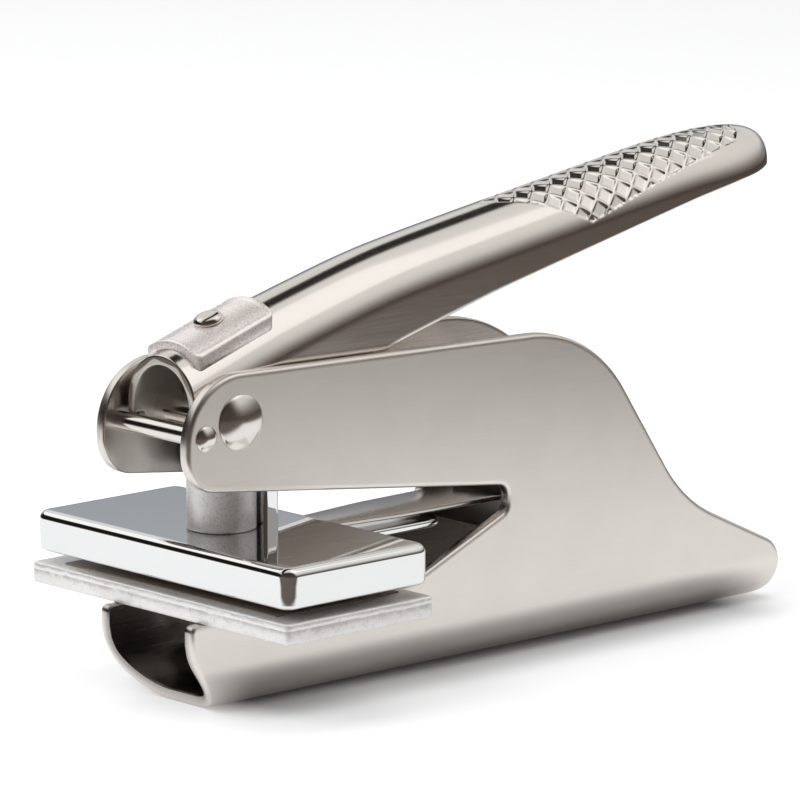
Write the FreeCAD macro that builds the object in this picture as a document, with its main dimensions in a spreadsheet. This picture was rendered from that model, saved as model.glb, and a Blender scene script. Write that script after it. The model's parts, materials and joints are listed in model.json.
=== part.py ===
"""Seal embosser: a lever press that pinches paper between two dies.

Frame: +X runs from the nose to the tail, +Y to the far side and +Z up.  The origin is on
the table, straight below the plunger's axis.  Lengths are in millimetres.
"""
import FreeCAD, Part
import math
import os
import Sketcher

from FreeCAD import Placement, Rotation, Vector

doc = FreeCAD.newDocument("seal_embosser")
sheet = doc.addObject("Spreadsheet::Sheet", "sizes")

SIZES = [
    # bent frame
    ("body_width", 22.0, "outer width of the bent channel and of the two cheeks"),
    ("sheet_wall", 2.0, "thickness of the frame's sheet"),
    ("bend_radius", 8.0, "outer radius of the two bends along the base"),
    ("base_height", 15.1, "height of the base's open top, where the lower plate lies"),
    ("base_reach", 15.3, "base's front edge in front of the plunger axis"),
    ("toe_reach", 15.3, "front corner of the base in front of the axis"),
    ("toe_height", 8.3, "height of that corner"),
    ("toe_round", 9.4, "rounding of that corner"),
    ("sole_reach", 7.0, "front end of the flat sole in front of the axis"),
    ("throat_ramp", 29.7, "where the throat's floor starts to climb"),
    ("throat_depth", 50.6, "back end of the throat behind the axis"),
    ("throat_low", 23.9, "lower corner of the throat's back end"),
    ("throat_high", 27.9, "upper corner of the throat's back end"),
    ("throat_round", 1.9, "rounding of those two corners"),
    ("ramp_round", 6.0, "rounding at the foot of the ramp"),
    ("nose_reach", 16.05, "nose of the cheeks in front of the axis"),
    ("nose_low", 35.95, "lower corner of the nose"),
    ("nose_high", 53.5, "upper corner of the nose"),
    ("nose_low_round", 3.2, "rounding of the lower corner"),
    ("nose_high_round", 10.6, "rounding of the upper corner"),
    ("hump_reach", 68.7, "back corner of the cheeks' top edge"),
    ("hump_height", 51.2, "height of that corner"),
    ("hump_round", 26.0, "rounding of that corner"),
    ("foot_reach", 89.9, "corner where the back slope meets the tail"),
    ("foot_height", 20.0, "height of that corner"),
    ("foot_round", 27.0, "hollow rounding of that corner"),
    ("tail_reach", 112.4, "end of the tail behind the axis"),
    ("tail_height", 9.3, "upper corner of the tail"),
    ("tail_round", 5.5, "rounding of that corner"),
    ("heel_round", 2.5, "rounding of the tail's lower corner"),
    # pivot rivet and stop pin
    ("pivot_reach", 5.5, "handle pivot in front of the plunger axis"),
    ("pivot_height", 45.6, "height of the handle pivot"),
    ("pivot_diameter", 5.0, "shank of the pivot rivet"),
    ("pivot_head", 8.6, "head diameter of the pivot rivet"),
    ("pivot_head_rise", 1.3, "how far the pivot rivet's head stands out"),
    ("stop_reach", 12.4, "stop pin in front of the plunger axis"),
    ("stop_height", 43.9, "height of the stop pin"),
    ("stop_diameter", 3.0, "shank of the stop pin"),
    ("stop_head", 4.0, "head diameter of the stop pin"),
    ("stop_head_rise", 0.8, "how far the stop pin's head stands out"),
    ("shaft_clearance", 0.05, "radial running clearance of pins and shafts"),
    # handle
    ("handle_width", 16.0, "outer width of the handle channel"),
    ("handle_sheet", 1.6, "thickness of the handle's sheet"),
    ("handle_front", 12.0, "open front of the handle in front of the axis"),
    ("handle_tip", 116.0, "tip of the handle behind the axis"),
    ("crest_clear", 11.8, "crest of the handle above the pivot"),
    ("shank_rise", 18.6, "slope of the crest over the pivot, degrees"),
    ("brow_reach", 5.4, "where the crest bends behind the badge plate"),
    ("brow_softness", 2.9, "how far that bend is felt"),
    ("knee_reach", 28.8, "where the crest bends to the grip"),
    ("knee_height", 67.35, "height of that bend"),
    ("knee_softness", 7.2, "how far that bend is felt"),
    ("grip_rise", 8.93, "slope of the crest behind it, degrees"),
    ("tip_length", 18.8, "length over which the tip's plan closes"),
    ("tip_fullness", 3.0, "squareness of that plan: 2 for an ellipse"),
    ("fall_length", 29.6, "length over which the crest falls to the tip"),
    ("fall_fullness", 2.4, "squareness of that fall: 2 for an ellipse"),
    ("tip_drop", 5.7, "how far the crest falls"),
    ("lobe_radius", 4.4, "eye of the handle round the pivot"),
    ("shank_under", 4.1, "lower edge of the handle behind the pivot, below the pivot"),
    ("shank_under_reach", 2.0, "where that lower edge starts to climb"),
    ("rim_low_reach", 29.0, "first bend of the handle's lower edge"),
    ("rim_low", 14.0, "crest to lower edge at that bend"),
    ("rim_mid_reach", 50.0, "second bend of the lower edge"),
    ("rim_mid", 12.0, "crest to lower edge at that bend"),
    ("rim_end_reach", 96.0, "last bend of the lower edge"),
    ("rim_end", 8.9, "crest to lower edge at that bend"),
    ("rim_tip", 2.95, "crest to lower edge at the tip"),
    # badge plate on the handle
    ("badge_length", 15.5, "length of the bare plate on the handle"),
    ("badge_width", 12.4, "width of that plate"),
    ("badge_thickness", 1.3, "thickness of that plate"),
    ("badge_front", 9.4, "front edge of the plate in front of the axis"),
    ("rivet_diameter", 2.4, "shank of the plate's rivet"),
    ("rivet_head", 4.7, "head of the plate's rivet"),
    ("rivet_head_rise", 0.9, "how far that head stands out"),
    # pressing parts
    ("arm_length", 5.8, "pivot to pressure roller"),
    ("roller_diameter", 6.0, "pressure roller"),
    ("roller_pin_diameter", 3.0, "pin of the pressure roller"),
    ("side_clearance", 0.2, "end play of the roller between the handle's flanks"),
    ("washer_diameter", 9.0, "washers on the pivot rivet"),
    ("plunger_diameter", 10.9, "plunger"),
    ("button_diameter", 7.0, "top of the plunger, under the roller"),
    ("button_height", 2.0, "height of the plunger's top step"),
    ("contact_gap", 0.05, "roller to plunger with no load"),
    ("bar_front", 5.6, "front face of the guide bar behind the axis"),
    ("bar_thickness", 3.3, "guide bar, front to back"),
    ("bar_width", 7.2, "guide bar, across"),
    ("bar_top", 41.0, "top of the guide bar"),
    ("guide_clearance", 0.1, "guide bar in its block"),
    ("block_front", 2.0, "front of the guide block behind the axis"),
    ("block_back", 13.0, "back of the guide block behind the axis"),
    ("block_low", 34.6, "underside of the guide block"),
    ("block_high", 39.6, "top of the guide block"),
    # plates and dies
    ("plate_length", 29.3, "upper plate, front to back"),
    ("plate_width", 60.0, "upper plate, across"),
    ("plate_thickness", 6.4, "upper plate"),
    ("plate_front", 12.9, "front of the upper plate in front of the axis"),
    ("plate_corner", 1.5, "vertical corners of the upper plate"),
    ("plate_top_round", 1.25, "rounding of its top edge"),
    ("plate_low_round", 0.8, "rounding of its bottom edge"),
    ("plate_gap", 1.9, "upper plate to lower plate with no load"),
    ("bed_margin", 0.4, "how far the lower plate stands out past the upper one"),
    ("bed_thickness", 3.3, "lower plate"),
    ("bed_corner", 1.0, "vertical corners of the lower plate"),
    ("die_length", 25.0, "dies, front to back"),
    ("die_width", 50.0, "dies, across"),
    ("die_thickness", 1.2, "dies"),
    ("die_seat", 1.0, "depth of the recess that holds a die"),
    ("die_fit", 0.1, "gap round a die in its recess"),
    ("paper_gap", 0.1, "left between the dies when they close"),
    # screws
    ("screw_diameter", 2.5, "all screws, shank"),
    ("screw_head", 4.6, "all screws, head"),
    ("screw_head_height", 1.8, "all screws, height of the head"),
    ("screw_grip", 7.0, "how far the press screws reach into the plunger and the bar"),
    # lower plate's rail
    ("rail_front", 1.0, "front of the rail behind the axis"),
    ("rail_length", 14.0, "rail under the lower plate"),
    ("rail_depth", 5.6, "height of the rail"),
    ("rail_screw_pitch", 8.0, "spacing of its two screws"),
    ("rail_screw_bite", 1.9, "how far they reach into the lower plate"),
    # return spring
    ("leaf_thickness", 0.9, "leaf of the return spring"),
    ("leaf_height", 24.3, "underside of the leaf"),
    ("leaf_root_width", 12.0, "leaf at its root"),
    ("leaf_waist_width", 10.6, "leaf where its taper steepens"),
    ("leaf_waist_reach", 33.0, "where its taper steepens"),
    ("leaf_tip_width", 6.0, "leaf at its tip"),
    ("leaf_bite", 2.4, "how far the tip reaches into the upper plate"),
    ("slot_clearance", 0.1, "leaf in its slot"),
    ("saddle_front", 53.6, "front of the saddle that carries the leaf's root"),
    ("saddle_length", 10.0, "saddle, front to back"),
    ("saddle_depth", 5.0, "height of the saddle"),
    ("clamp_inset", 1.0, "clamp set in from the saddle's front and back"),
    ("clamp_width", 13.0, "clamp on the leaf's root"),
    ("clamp_thickness", 2.2, "clamp on the leaf's root"),
    ("clamp_screw_pitch", 6.6, "spacing of the clamp's two screws"),
    ("clamp_screw_bite", 3.4, "how far they reach into the saddle"),
    ("tail_bar_width", 11.0, "tongue behind the upper plate"),
    ("tail_bar_thickness", 1.2, "that tongue"),
    ("tail_bar_height", 21.9, "underside of that tongue"),
    ("tail_bar_end", 43.6, "rounded end of that tongue behind the axis"),
    ("tail_bar_flat", 0.1, "flat left between the two rounds of that end"),
    ("tail_bar_bite", 1.6, "how far that tongue reaches into the upper plate"),
]

# What follows from the sizes above, written once for the sheet and for Python alike.
DERIVED = [
    ("inner_half", "body_width / 2 - sheet_wall"),
    ("bed_top", "base_height + bed_thickness"),
    ("plate_low", "bed_top + plate_gap"),
    ("plate_high", "plate_low + plate_thickness"),
    ("plate_middle", "plate_length / 2 - plate_front"),
    ("plate_back", "plate_length - plate_front"),
    ("die_proud", "die_thickness - die_seat"),
    ("press_travel", "plate_gap - 2 * die_proud - paper_gap"),
    ("plunger_radius", "plunger_diameter / 2"),
    ("recess_top", "plate_low + die_seat"),
]

for row, (alias, value, meaning) in enumerate(SIZES, start=1):
    sheet.set(f"A{row}", meaning)
    sheet.set(f"B{row}", str(value))
    sheet.setAlias(f"B{row}", alias)
doc.recompute()
for row, (alias, formula) in enumerate(DERIVED, start=len(SIZES) + 1):
    sheet.set(f"A{row}", "worked out")
    sheet.set(f"B{row}", "=" + formula)
    sheet.setAlias(f"B{row}", alias)
    doc.recompute()

SAME = 1e-4  # closer than this, in mm or degrees, counts as the same place
CUT_MARGIN = 1.0  # how far a cutting shape reaches past what it cuts, mm
TIP_SHORT = 0.03  # the last section stands this far short of the tip, where the width is nil
SHOULDER = (0.75, 0.72)  # the badge rivet's round turns down here: shares of radius and height
ALIASES = [row[0] for row in SIZES] + [row[0] for row in DERIVED]
size = {alias: float(sheet.get(alias)) for alias in ALIASES}

# The roller swings from as far above the pivot's level to as far below it, so the press
# travels almost in proportion to the handle's angle.
swing = size["press_travel"] / size["arm_length"]
roller_x = -size["pivot_reach"] + size["arm_length"] * math.cos(swing / 2)
roller_z = size["pivot_height"] + size["arm_length"] * math.sin(swing / 2)
plunger_top = roller_z - size["roller_diameter"] / 2 - size["contact_gap"]

# Level of the handle's lower edge behind the pivot, and of its blank's floor below that.
shank_level = size["pivot_height"] - size["shank_under"]
blank_floor = shank_level - size["lobe_radius"]


def number(text):
    """Value in millimetres of an expression written with the sheet's names."""
    names = sorted(ALIASES, key=len, reverse=True)
    total = 0.0
    for term in text.replace("- ", "+ -").split("+ "):
        term = term.strip()
        if not term:
            continue
        sign = -1.0 if term.startswith("-") else 1.0
        product = 1.0
        divide = False
        for factor in term.lstrip("-").replace("/", "* /").split("*"):
            factor = factor.strip()
            if factor.startswith("/"):
                divide = True
                factor = factor[1:].strip()
            if not factor:
                continue
            value = size[factor] if factor in names else float(factor)
            product = product / value if divide else product * value
            divide = False
        total += sign * product
    return total


def bound(text):
    """The same expression for setExpression, with each name looked up in the sheet."""
    words = []
    for word in text.replace("(", "( ").replace(")", " )").split():
        bare = word.lstrip("-")
        if bare in size:
            words.append(word.replace(bare, "sizes." + bare))
        else:
            words.append(word)
    return " ".join(words)


def body_of(label):
    """New PartDesign body with its label."""
    body = doc.addObject("PartDesign::Body", label)
    body.Label = label
    return body


def origin_plane(body, role):
    """One of the body's own origin planes."""
    for feature in body.Origin.OriginFeatures:
        if feature.Role == role:
            return feature
    raise RuntimeError("no plane " + role)


def sketch_on(body, role, name):
    """Sketch attached to one of the body's origin planes."""
    sketch = body.newObject("Sketcher::SketchObject", name)
    sketch.AttachmentSupport = [(origin_plane(body, role), "")]
    sketch.MapMode = "FlatFace"
    return sketch


def polygon(body, role, name, corners):
    """Closed outline whose corners are pairs of expressions, each bound to the sheet."""
    sketch = sketch_on(body, role, name)
    points = [Vector(number(u), number(v), 0) for u, v in corners]
    count = len(points)
    for index in range(count):
        sketch.addGeometry(Part.LineSegment(points[index], points[(index + 1) % count]))
    for index in range(count):
        sketch.addConstraint(
            Sketcher.Constraint("Coincident", index, 2, (index + 1) % count, 1))
    for index, (u, v) in enumerate(corners):
        for kind, text in (("DistanceX", u), ("DistanceY", v)):
            value = number(text)
            if abs(value) < SAME:
                on_axis = -2 if kind == "DistanceX" else -1
                sketch.addConstraint(Sketcher.Constraint("PointOnObject", index, 1, on_axis))
                continue
            made = sketch.addConstraint(Sketcher.Constraint(kind, -1, 1, index, 1, value))
            sketch.setExpression(f"Constraints[{made}]", bound(text))
    return sketch


def circle(body, role, name, centre_u, centre_v, radius):
    """Circle whose centre and radius are bound to the sheet."""
    sketch = sketch_on(body, role, name)
    centre = Vector(number(centre_u), number(centre_v), 0)
    sketch.addGeometry(Part.Circle(centre, Vector(0, 0, 1), number(radius)))
    for kind, text in (("DistanceX", centre_u), ("DistanceY", centre_v)):
        value = number(text)
        if abs(value) < SAME:
            on_axis = -2 if kind == "DistanceX" else -1
            sketch.addConstraint(Sketcher.Constraint("PointOnObject", 0, 3, on_axis))
            continue
        made = sketch.addConstraint(Sketcher.Constraint(kind, -1, 1, 0, 3, value))
        sketch.setExpression(f"Constraints[{made}]", bound(text))
    made = sketch.addConstraint(Sketcher.Constraint("Radius", 0, number(radius)))
    sketch.setExpression(f"Constraints[{made}]", bound(radius))
    return sketch


def pad(body, sketch, name, length, middle=False, lift=None):
    """Pad of a sketch, either both ways from its plane or from a bound height."""
    feature = body.newObject("PartDesign::Pad", name)
    feature.Profile = sketch
    feature.Length = number(length)
    feature.setExpression("Length", bound(length))
    feature.Midplane = middle
    if lift is not None:
        sketch.AttachmentOffset = Placement(Vector(0, 0, number(lift)), Rotation())
        sketch.setExpression("AttachmentOffset.Base.z", bound(lift))
    sketch.Visibility = False
    doc.recompute()
    return feature


def pocket(body, sketch, name, length, middle=False, lift=None, upwards=True):
    """Pocket of a sketch, which has to take something away."""
    before = body.Shape.Volume
    feature = body.newObject("PartDesign::Pocket", name)
    feature.Profile = sketch
    feature.Length = number(length)
    feature.setExpression("Length", bound(length))
    feature.Midplane = middle
    feature.Reversed = upwards and not middle
    if lift is not None:
        sketch.AttachmentOffset = Placement(Vector(0, 0, number(lift)), Rotation())
        sketch.setExpression("AttachmentOffset.Base.z", bound(lift))
    sketch.Visibility = False
    doc.recompute()
    if body.Shape.Volume >= before - SAME:
        raise RuntimeError(f"{body.Label}: {name} cut nothing")
    return feature


def edges_where(shape, test):
    """Names of the edges whose middle and direction pass a test."""
    names = []
    for index, edge in enumerate(shape.Edges, start=1):
        middle = edge.valueAt((edge.FirstParameter + edge.LastParameter) / 2)
        if test(edge, middle):
            names.append(f"Edge{index}")
    return names


def round_edges(body, name, radius, test):
    """PartDesign fillet on the edges that pass a test, its radius bound to the sheet."""
    base = body.Tip
    names = edges_where(base.Shape, test)
    if not names:
        raise RuntimeError(f"{body.Label}: {name} found no edge")
    fillet = body.newObject("PartDesign::Fillet", name)
    fillet.Base = (base, names)
    fillet.Radius = number(radius)
    fillet.setExpression("Radius", bound(radius))
    doc.recompute()
    return fillet


def straight_across(u, v):
    """Test for the edge along Y through a corner of a side outline."""
    x, z = number(u), number(v)

    def test(edge, middle):
        ends = [vertex.Point for vertex in edge.Vertexes]
        if len(ends) != 2:
            return False
        along_y = math.hypot(ends[0].x - ends[1].x, ends[0].z - ends[1].z) < SAME
        return along_y and math.hypot(middle.x - x, middle.z - z) < SAME
    return test


def upright(edge, middle):
    """Test for edges along Z."""
    ends = [vertex.Point for vertex in edge.Vertexes]
    return len(ends) == 2 and math.hypot(ends[0].x - ends[1].x, ends[0].y - ends[1].y) < SAME


def at_height(text, half=None):
    """Test for edges at one height, and if asked at one distance from the middle plane."""
    height = number(text)

    def test(edge, middle):
        beside = half is None or abs(abs(middle.y) - number(half)) < SAME
        return beside and abs(middle.z - height) < SAME
    return test


def cylinder_y(name, diameter, x, z, length):
    """Cylinder along Y, centred on the middle plane."""
    part = doc.addObject("Part::Cylinder", name)
    part.Radius = number(diameter) / 2
    part.setExpression("Radius", f"({bound(diameter)}) / 2")
    part.Height = number(length)
    part.setExpression("Height", bound(length))
    part.Placement = Placement(Vector(number(x), number(length) / 2, number(z)),
                               Rotation(Vector(1, 0, 0), 90))
    part.setExpression("Placement.Base.x", bound(x))
    part.setExpression("Placement.Base.y", f"({bound(length)}) / 2")
    part.setExpression("Placement.Base.z", bound(z))
    return part


def combine(kind, label, base, tool):
    """Part::Cut or Part::Common of two objects."""
    result = doc.addObject(kind, label)
    result.Label = label
    result.Base = base
    result.Tool = tool
    return result


def fuse(label, parts):
    """One object from parts that belong together."""
    result = doc.addObject("Part::MultiFuse", label)
    result.Label = label
    result.Shapes = parts
    return result


def shape_part(label, shape):
    """Part::Feature for a shape that no sketch describes."""
    part = doc.addObject("Part::Feature", label)
    part.Label = label
    part.Shape = shape
    return part


# ---------------------------------------------------------------- frame
def make_frame():
    """One sheet, bent to a channel; its two walls rise at the back and run forward as cheeks.

    The side outline, padded across, is intersected with the channel's section, padded along.
    """
    side = body_of("frame_side")
    corners = [
        ("-sole_reach", "0", None),
        ("-toe_reach", "toe_height", "toe_round"),
        ("-base_reach", "base_height", None),
        ("throat_ramp", "base_height", "ramp_round"),
        ("throat_depth", "throat_low", "throat_round"),
        ("throat_depth", "throat_high", "throat_round"),
        ("-nose_reach", "nose_low", "nose_low_round"),
        ("-nose_reach", "nose_high", "nose_high_round"),
        ("hump_reach", "hump_height", "hump_round"),
        ("foot_reach", "foot_height", "foot_round"),
        ("tail_reach", "tail_height", "tail_round"),
        ("tail_reach", "0", "heel_round"),
    ]
    outline = polygon(side, "XZ_Plane", "frame_outline", [(u, v) for u, v, radius in corners])
    pad(side, outline, "frame_pad", "body_width", middle=True)
    for index, (u, v, radius) in enumerate(corners, start=1):
        if radius:
            round_edges(side, f"frame_round_{index}", radius, straight_across(u, v))

    section = body_of("frame_section")
    outer = polygon(section, "YZ_Plane", "section_outer", [
        ("-body_width / 2", "0"), ("body_width / 2", "0"),
        ("body_width / 2", "2 * nose_high"), ("-body_width / 2", "2 * nose_high")])
    pad(section, outer, "section_pad", "4 * tail_reach", middle=True)
    round_edges(section, "section_bends", "bend_radius", at_height("0", "body_width / 2"))
    hollow = body_of("frame_hollow")
    inner = polygon(hollow, "YZ_Plane", "section_inner", [
        ("-inner_half", "sheet_wall"), ("inner_half", "sheet_wall"),
        ("inner_half", "3 * nose_high"), ("-inner_half", "3 * nose_high")])
    pad(hollow, inner, "hollow_pad", "5 * tail_reach", middle=True)
    round_edges(hollow, "hollow_bends", "bend_radius - sheet_wall", at_height("sheet_wall", "inner_half"))

    channel = combine("Part::Cut", "frame_channel", section, hollow)
    bent = combine("Part::Common", "frame_bent", side, channel)
    through = "2 * body_width"
    pivot_hole = cylinder_y("pivot_hole", "pivot_diameter", "-pivot_reach", "pivot_height", through)
    stop_hole = cylinder_y("stop_hole", "stop_diameter", "-stop_reach", "stop_height", through)
    holes = fuse("frame_holes", [pivot_hole, stop_hole])
    return combine("Part::Cut", "frame_shell", bent, holes)


def rivet(label, diameter, head, rise, x, z):
    """Cross rivet: a shank through both cheeks with a low domed head on each."""
    shank_radius = size[diameter] / 2
    head_radius = size[head] / 2
    high = size[rise]
    half = size["body_width"] / 2
    dome_radius = (head_radius ** 2 + high ** 2) / (2 * high)
    halfway = math.asin(head_radius / dome_radius) / 2
    top = Vector(0, 0, half + high)
    bulge = top + Vector(math.sin(halfway), 0, math.cos(halfway) - 1) * dome_radius
    rim = Vector(head_radius, 0, half)
    neck = Vector(shank_radius, 0, half)

    def mirrored(point):
        return Vector(point.x, 0, -point.z)

    outline = [
        Part.Arc(top, bulge, rim).toShape(),
        Part.LineSegment(rim, neck).toShape(),
        Part.LineSegment(neck, mirrored(neck)).toShape(),
        Part.LineSegment(mirrored(neck), mirrored(rim)).toShape(),
        Part.Arc(mirrored(rim), mirrored(bulge), mirrored(top)).toShape(),
        Part.LineSegment(mirrored(top), top).toShape(),
    ]
    solid = Part.Face(Part.Wire(outline)).revolve(Vector(0, 0, 0), Vector(0, 0, 1), 360)
    part = shape_part(label, Part.Solid(solid))
    part.Placement = Placement(Vector(x, 0, z), Rotation(Vector(1, 0, 0), 90))
    return part


def make_washers():
    """Two washers that keep the handle in the middle between the cheeks."""
    thickness = size["inner_half"] - size["handle_width"] / 2 - size["shaft_clearance"]
    rings = []
    for side in (-1, 1):
        inner_face = side * size["inner_half"]
        start = Vector(-size["pivot_reach"], inner_face, size["pivot_height"])
        towards = Vector(0, -side, 0)
        ring = Part.makeCylinder(size["washer_diameter"] / 2, thickness, start, towards)
        bore_radius = size["pivot_diameter"] / 2
        rings.append(ring.cut(Part.makeCylinder(bore_radius, thickness, start, towards)))
    return shape_part("pivot_washers", Part.makeCompound(rings))


# ---------------------------------------------------------------- handle
def ramp(past, softness):
    """Nil before a bend and the distance past it behind, with a soft passage between."""
    return (past + math.hypot(past, size[softness])) / 2


def share_left(x, length, fullness):
    """Share left at x of a height or width that closes over the last length before the tip."""
    along = 1 - (size["handle_tip"] - x) / size[length]
    power = size[fullness]
    return (1 - min(1.0, max(0.0, along)) ** power) ** (1 / power)


def crest_height(x):
    """Height of the handle's crest: three slopes joined softly, then falling to the tip."""
    over_pivot = size["pivot_height"] + size["crest_clear"]
    front_slope = math.tan(math.radians(size["shank_rise"]))
    brow = over_pivot + (size["brow_reach"] + size["pivot_reach"]) * front_slope
    shank_slope = (size["knee_height"] - brow) / (size["knee_reach"] - size["brow_reach"])
    grip_slope = math.tan(math.radians(size["grip_rise"]))
    crest = over_pivot + (x + size["pivot_reach"]) * front_slope
    crest += (shank_slope - front_slope) * ramp(x - size["brow_reach"], "brow_softness")
    crest += (grip_slope - shank_slope) * ramp(x - size["knee_reach"], "knee_softness")
    return crest - size["tip_drop"] * (1 - share_left(x, "fall_length", "fall_fullness"))


def half_width(x):
    """Half the handle's width, which closes in a full round over the tip."""
    return size["handle_width"] / 2 * share_left(x, "tip_length", "tip_fullness")


def arch_section(x, inset, floor):
    """Wire at x: straight legs under a round arch, all set in by inset."""
    wide = half_width(x) - inset
    top = crest_height(x) - inset
    spring = top - wide
    left = Vector(x, -wide, spring)
    right = Vector(x, wide, spring)
    return Part.Wire([
        Part.Arc(left, Vector(x, 0, top), right).toShape(),
        Part.LineSegment(right, Vector(x, wide, floor)).toShape(),
        Part.LineSegment(Vector(x, wide, floor), Vector(x, -wide, floor)).toShape(),
        Part.LineSegment(Vector(x, -wide, floor), left).toShape(),
    ])


def bend_stations(reach, softness):
    """Places along a soft bend of the crest, as far out as it is felt."""
    return [size[reach] + size[softness] * step for step in (-2, -1, -0.4, 0.4, 1, 2)]


def arch_loft(inset, front, back, floor):
    """Loft through arch sections, set closer where the crest bends and over the tip."""
    stations = bend_stations("brow_reach", "brow_softness")
    stations += bend_stations("knee_reach", "knee_softness")
    stations += [size["handle_tip"] - size["fall_length"] * (1 - math.sin(math.radians(turn)))
                 for turn in range(0, 90, 9)]
    stations = [front] + sorted(x for x in stations if front < x < back) + [back]
    return Part.makeLoft([arch_section(x, inset, floor) for x in stations], True, True)


def handle_blank():
    """The handle as a solid, before it is hollowed and cut to its lower edge."""
    return arch_loft(0.0, -size["handle_front"], size["handle_tip"] - TIP_SHORT, blank_floor)


def below_handle():
    """Everything under the handle's lower edge, as a prism wider than the handle."""
    half = size["handle_width"]
    pivot = Vector(-size["pivot_reach"], half, size["pivot_height"])
    radius = size["lobe_radius"]
    front = -size["handle_front"] - CUT_MARGIN
    rest = size["stop_height"] + size["stop_diameter"] / 2 + size["contact_gap"]
    bottom = blank_floor - radius
    lobe_front = Vector(pivot.x - math.sqrt(radius ** 2 - (rest - pivot.z) ** 2), half, rest)
    lobe_low = Vector(pivot.x, half, pivot.z - radius)
    lobe_middle = pivot + Vector(-math.sin(math.pi / 4), 0, -math.cos(math.pi / 4)) * radius
    bends = [(size["rim_low_reach"], "rim_low"), (size["rim_mid_reach"], "rim_mid"),
             (size["rim_end_reach"], "rim_end"), (size["handle_tip"], "rim_tip")]
    rim = [Vector(x, half, crest_height(x) - size[depth]) for x, depth in bends]
    last_run = rim[-1] - rim[-2]
    past_tip = rim[-1] + last_run * (CUT_MARGIN / last_run.x)
    corners = [lobe_low, Vector(size["shank_under_reach"], half, shank_level)] + rim
    corners += [past_tip, Vector(past_tip.x, half, bottom), Vector(front, half, bottom),
                Vector(front, half, rest), lobe_front]
    edges = [Part.LineSegment(a, b).toShape() for a, b in zip(corners, corners[1:])]
    edges.append(Part.Arc(lobe_front, lobe_middle, lobe_low).toShape())
    return Part.Face(Part.Wire(edges)).extrude(Vector(0, -2 * half, 0))


def badge_frame():
    """Placement at the middle of the badge plate's seat, its Z square to the crest."""
    along = math.radians(size["shank_rise"])
    middle_x = -size["badge_front"] + size["badge_length"] * math.cos(along) / 2
    return Placement(Vector(middle_x, 0, crest_height(middle_x)),
                     Rotation(Vector(0, 1, 0), -size["shank_rise"]))


def make_handle():
    """Handle: a tapering channel with a round crest, closed at its tip."""
    front, wall = -size["handle_front"] - CUT_MARGIN, size["handle_sheet"]
    hollow = arch_loft(wall, front, size["handle_tip"] - wall, blank_floor - CUT_MARGIN)
    shell = handle_blank().cut(hollow).cut(below_handle())
    reach = size["handle_width"]
    bore_radius = size["pivot_diameter"] / 2 + size["shaft_clearance"]
    across = Vector(0, 1, 0)
    pivot = Vector(-size["pivot_reach"], -reach, size["pivot_height"])
    shell = shell.cut(Part.makeCylinder(bore_radius, 2 * reach, pivot, across))
    roller = Vector(roller_x, -reach, roller_z)
    shell = shell.cut(Part.makeCylinder(size["roller_pin_diameter"] / 2, 2 * reach, roller, across))
    seat = badge_frame()
    up = seat.Rotation.multVec(Vector(0, 0, 1))
    rivet_start = seat.Base - up * reach / 2
    shell = shell.cut(Part.makeCylinder(size["rivet_diameter"] / 2, reach, rivet_start, up))
    return shape_part("handle_lever", shell.removeSplitter())


def make_badge():
    """Bare plate that lies on the handle's crest and follows its round."""
    front, back = -size["handle_front"], size["handle_tip"] - size["fall_length"]
    cover = arch_loft(-size["badge_thickness"], front, back, blank_floor + CUT_MARGIN)
    skin = cover.cut(handle_blank())
    length, width = size["badge_length"], size["badge_width"]
    blank = Part.makeBox(length, width, width, Vector(-length / 2, -width / 2, -width / 2))
    blank.Placement = badge_frame()
    seat = badge_frame()
    up = seat.Rotation.multVec(Vector(0, 0, 1))
    hole = Part.makeCylinder(size["rivet_diameter"] / 2, 2 * width, seat.Base - up * width, up)
    return shape_part("badge_plate", skin.common(blank).cut(hole))


def make_badge_rivet():
    """Round-headed rivet through the badge plate and the handle's sheet."""
    radius, head_radius = size["rivet_diameter"] / 2, size["rivet_head"] / 2
    high = size["rivet_head_rise"]
    through = size["handle_sheet"]
    plate = size["badge_thickness"]
    top = Vector(0, 0, plate + high)
    rim = Vector(head_radius, 0, plate)
    shoulder = Vector(head_radius * SHOULDER[0], 0, plate + high * SHOULDER[1])
    corners = [rim, Vector(radius, 0, plate), Vector(radius, 0, -through),
               Vector(0, 0, -through), top]
    edges = [Part.Arc(top, shoulder, rim).toShape()]
    edges += [Part.LineSegment(a, b).toShape() for a, b in zip(corners, corners[1:])]
    solid = Part.Face(Part.Wire(edges)).revolve(Vector(0, 0, 0), Vector(0, 0, 1), 360)
    part = shape_part("badge_rivet", Part.Solid(solid))
    part.Placement = badge_frame()
    return part


def make_roller():
    """Pressure roller that bears on the plunger."""
    half = size["handle_width"] / 2 - size["handle_sheet"] - size["side_clearance"]
    start = Vector(roller_x, -half, roller_z)
    across = Vector(0, 1, 0)
    bore_radius = size["roller_pin_diameter"] / 2 + size["shaft_clearance"]
    roller = Part.makeCylinder(size["roller_diameter"] / 2, 2 * half, start, across)
    bore = Part.makeCylinder(bore_radius, 2 * half, start, across)
    return shape_part("pressure_roller", roller.cut(bore))


def make_roller_pin():
    """Pin of the roller, riveted flush in the handle's flanks."""
    half = size["handle_width"] / 2
    start = Vector(roller_x, -half, roller_z)
    pin = Part.makeCylinder(size["roller_pin_diameter"] / 2, 2 * half, start, Vector(0, 1, 0))
    return shape_part("roller_pin", pin)


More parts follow.
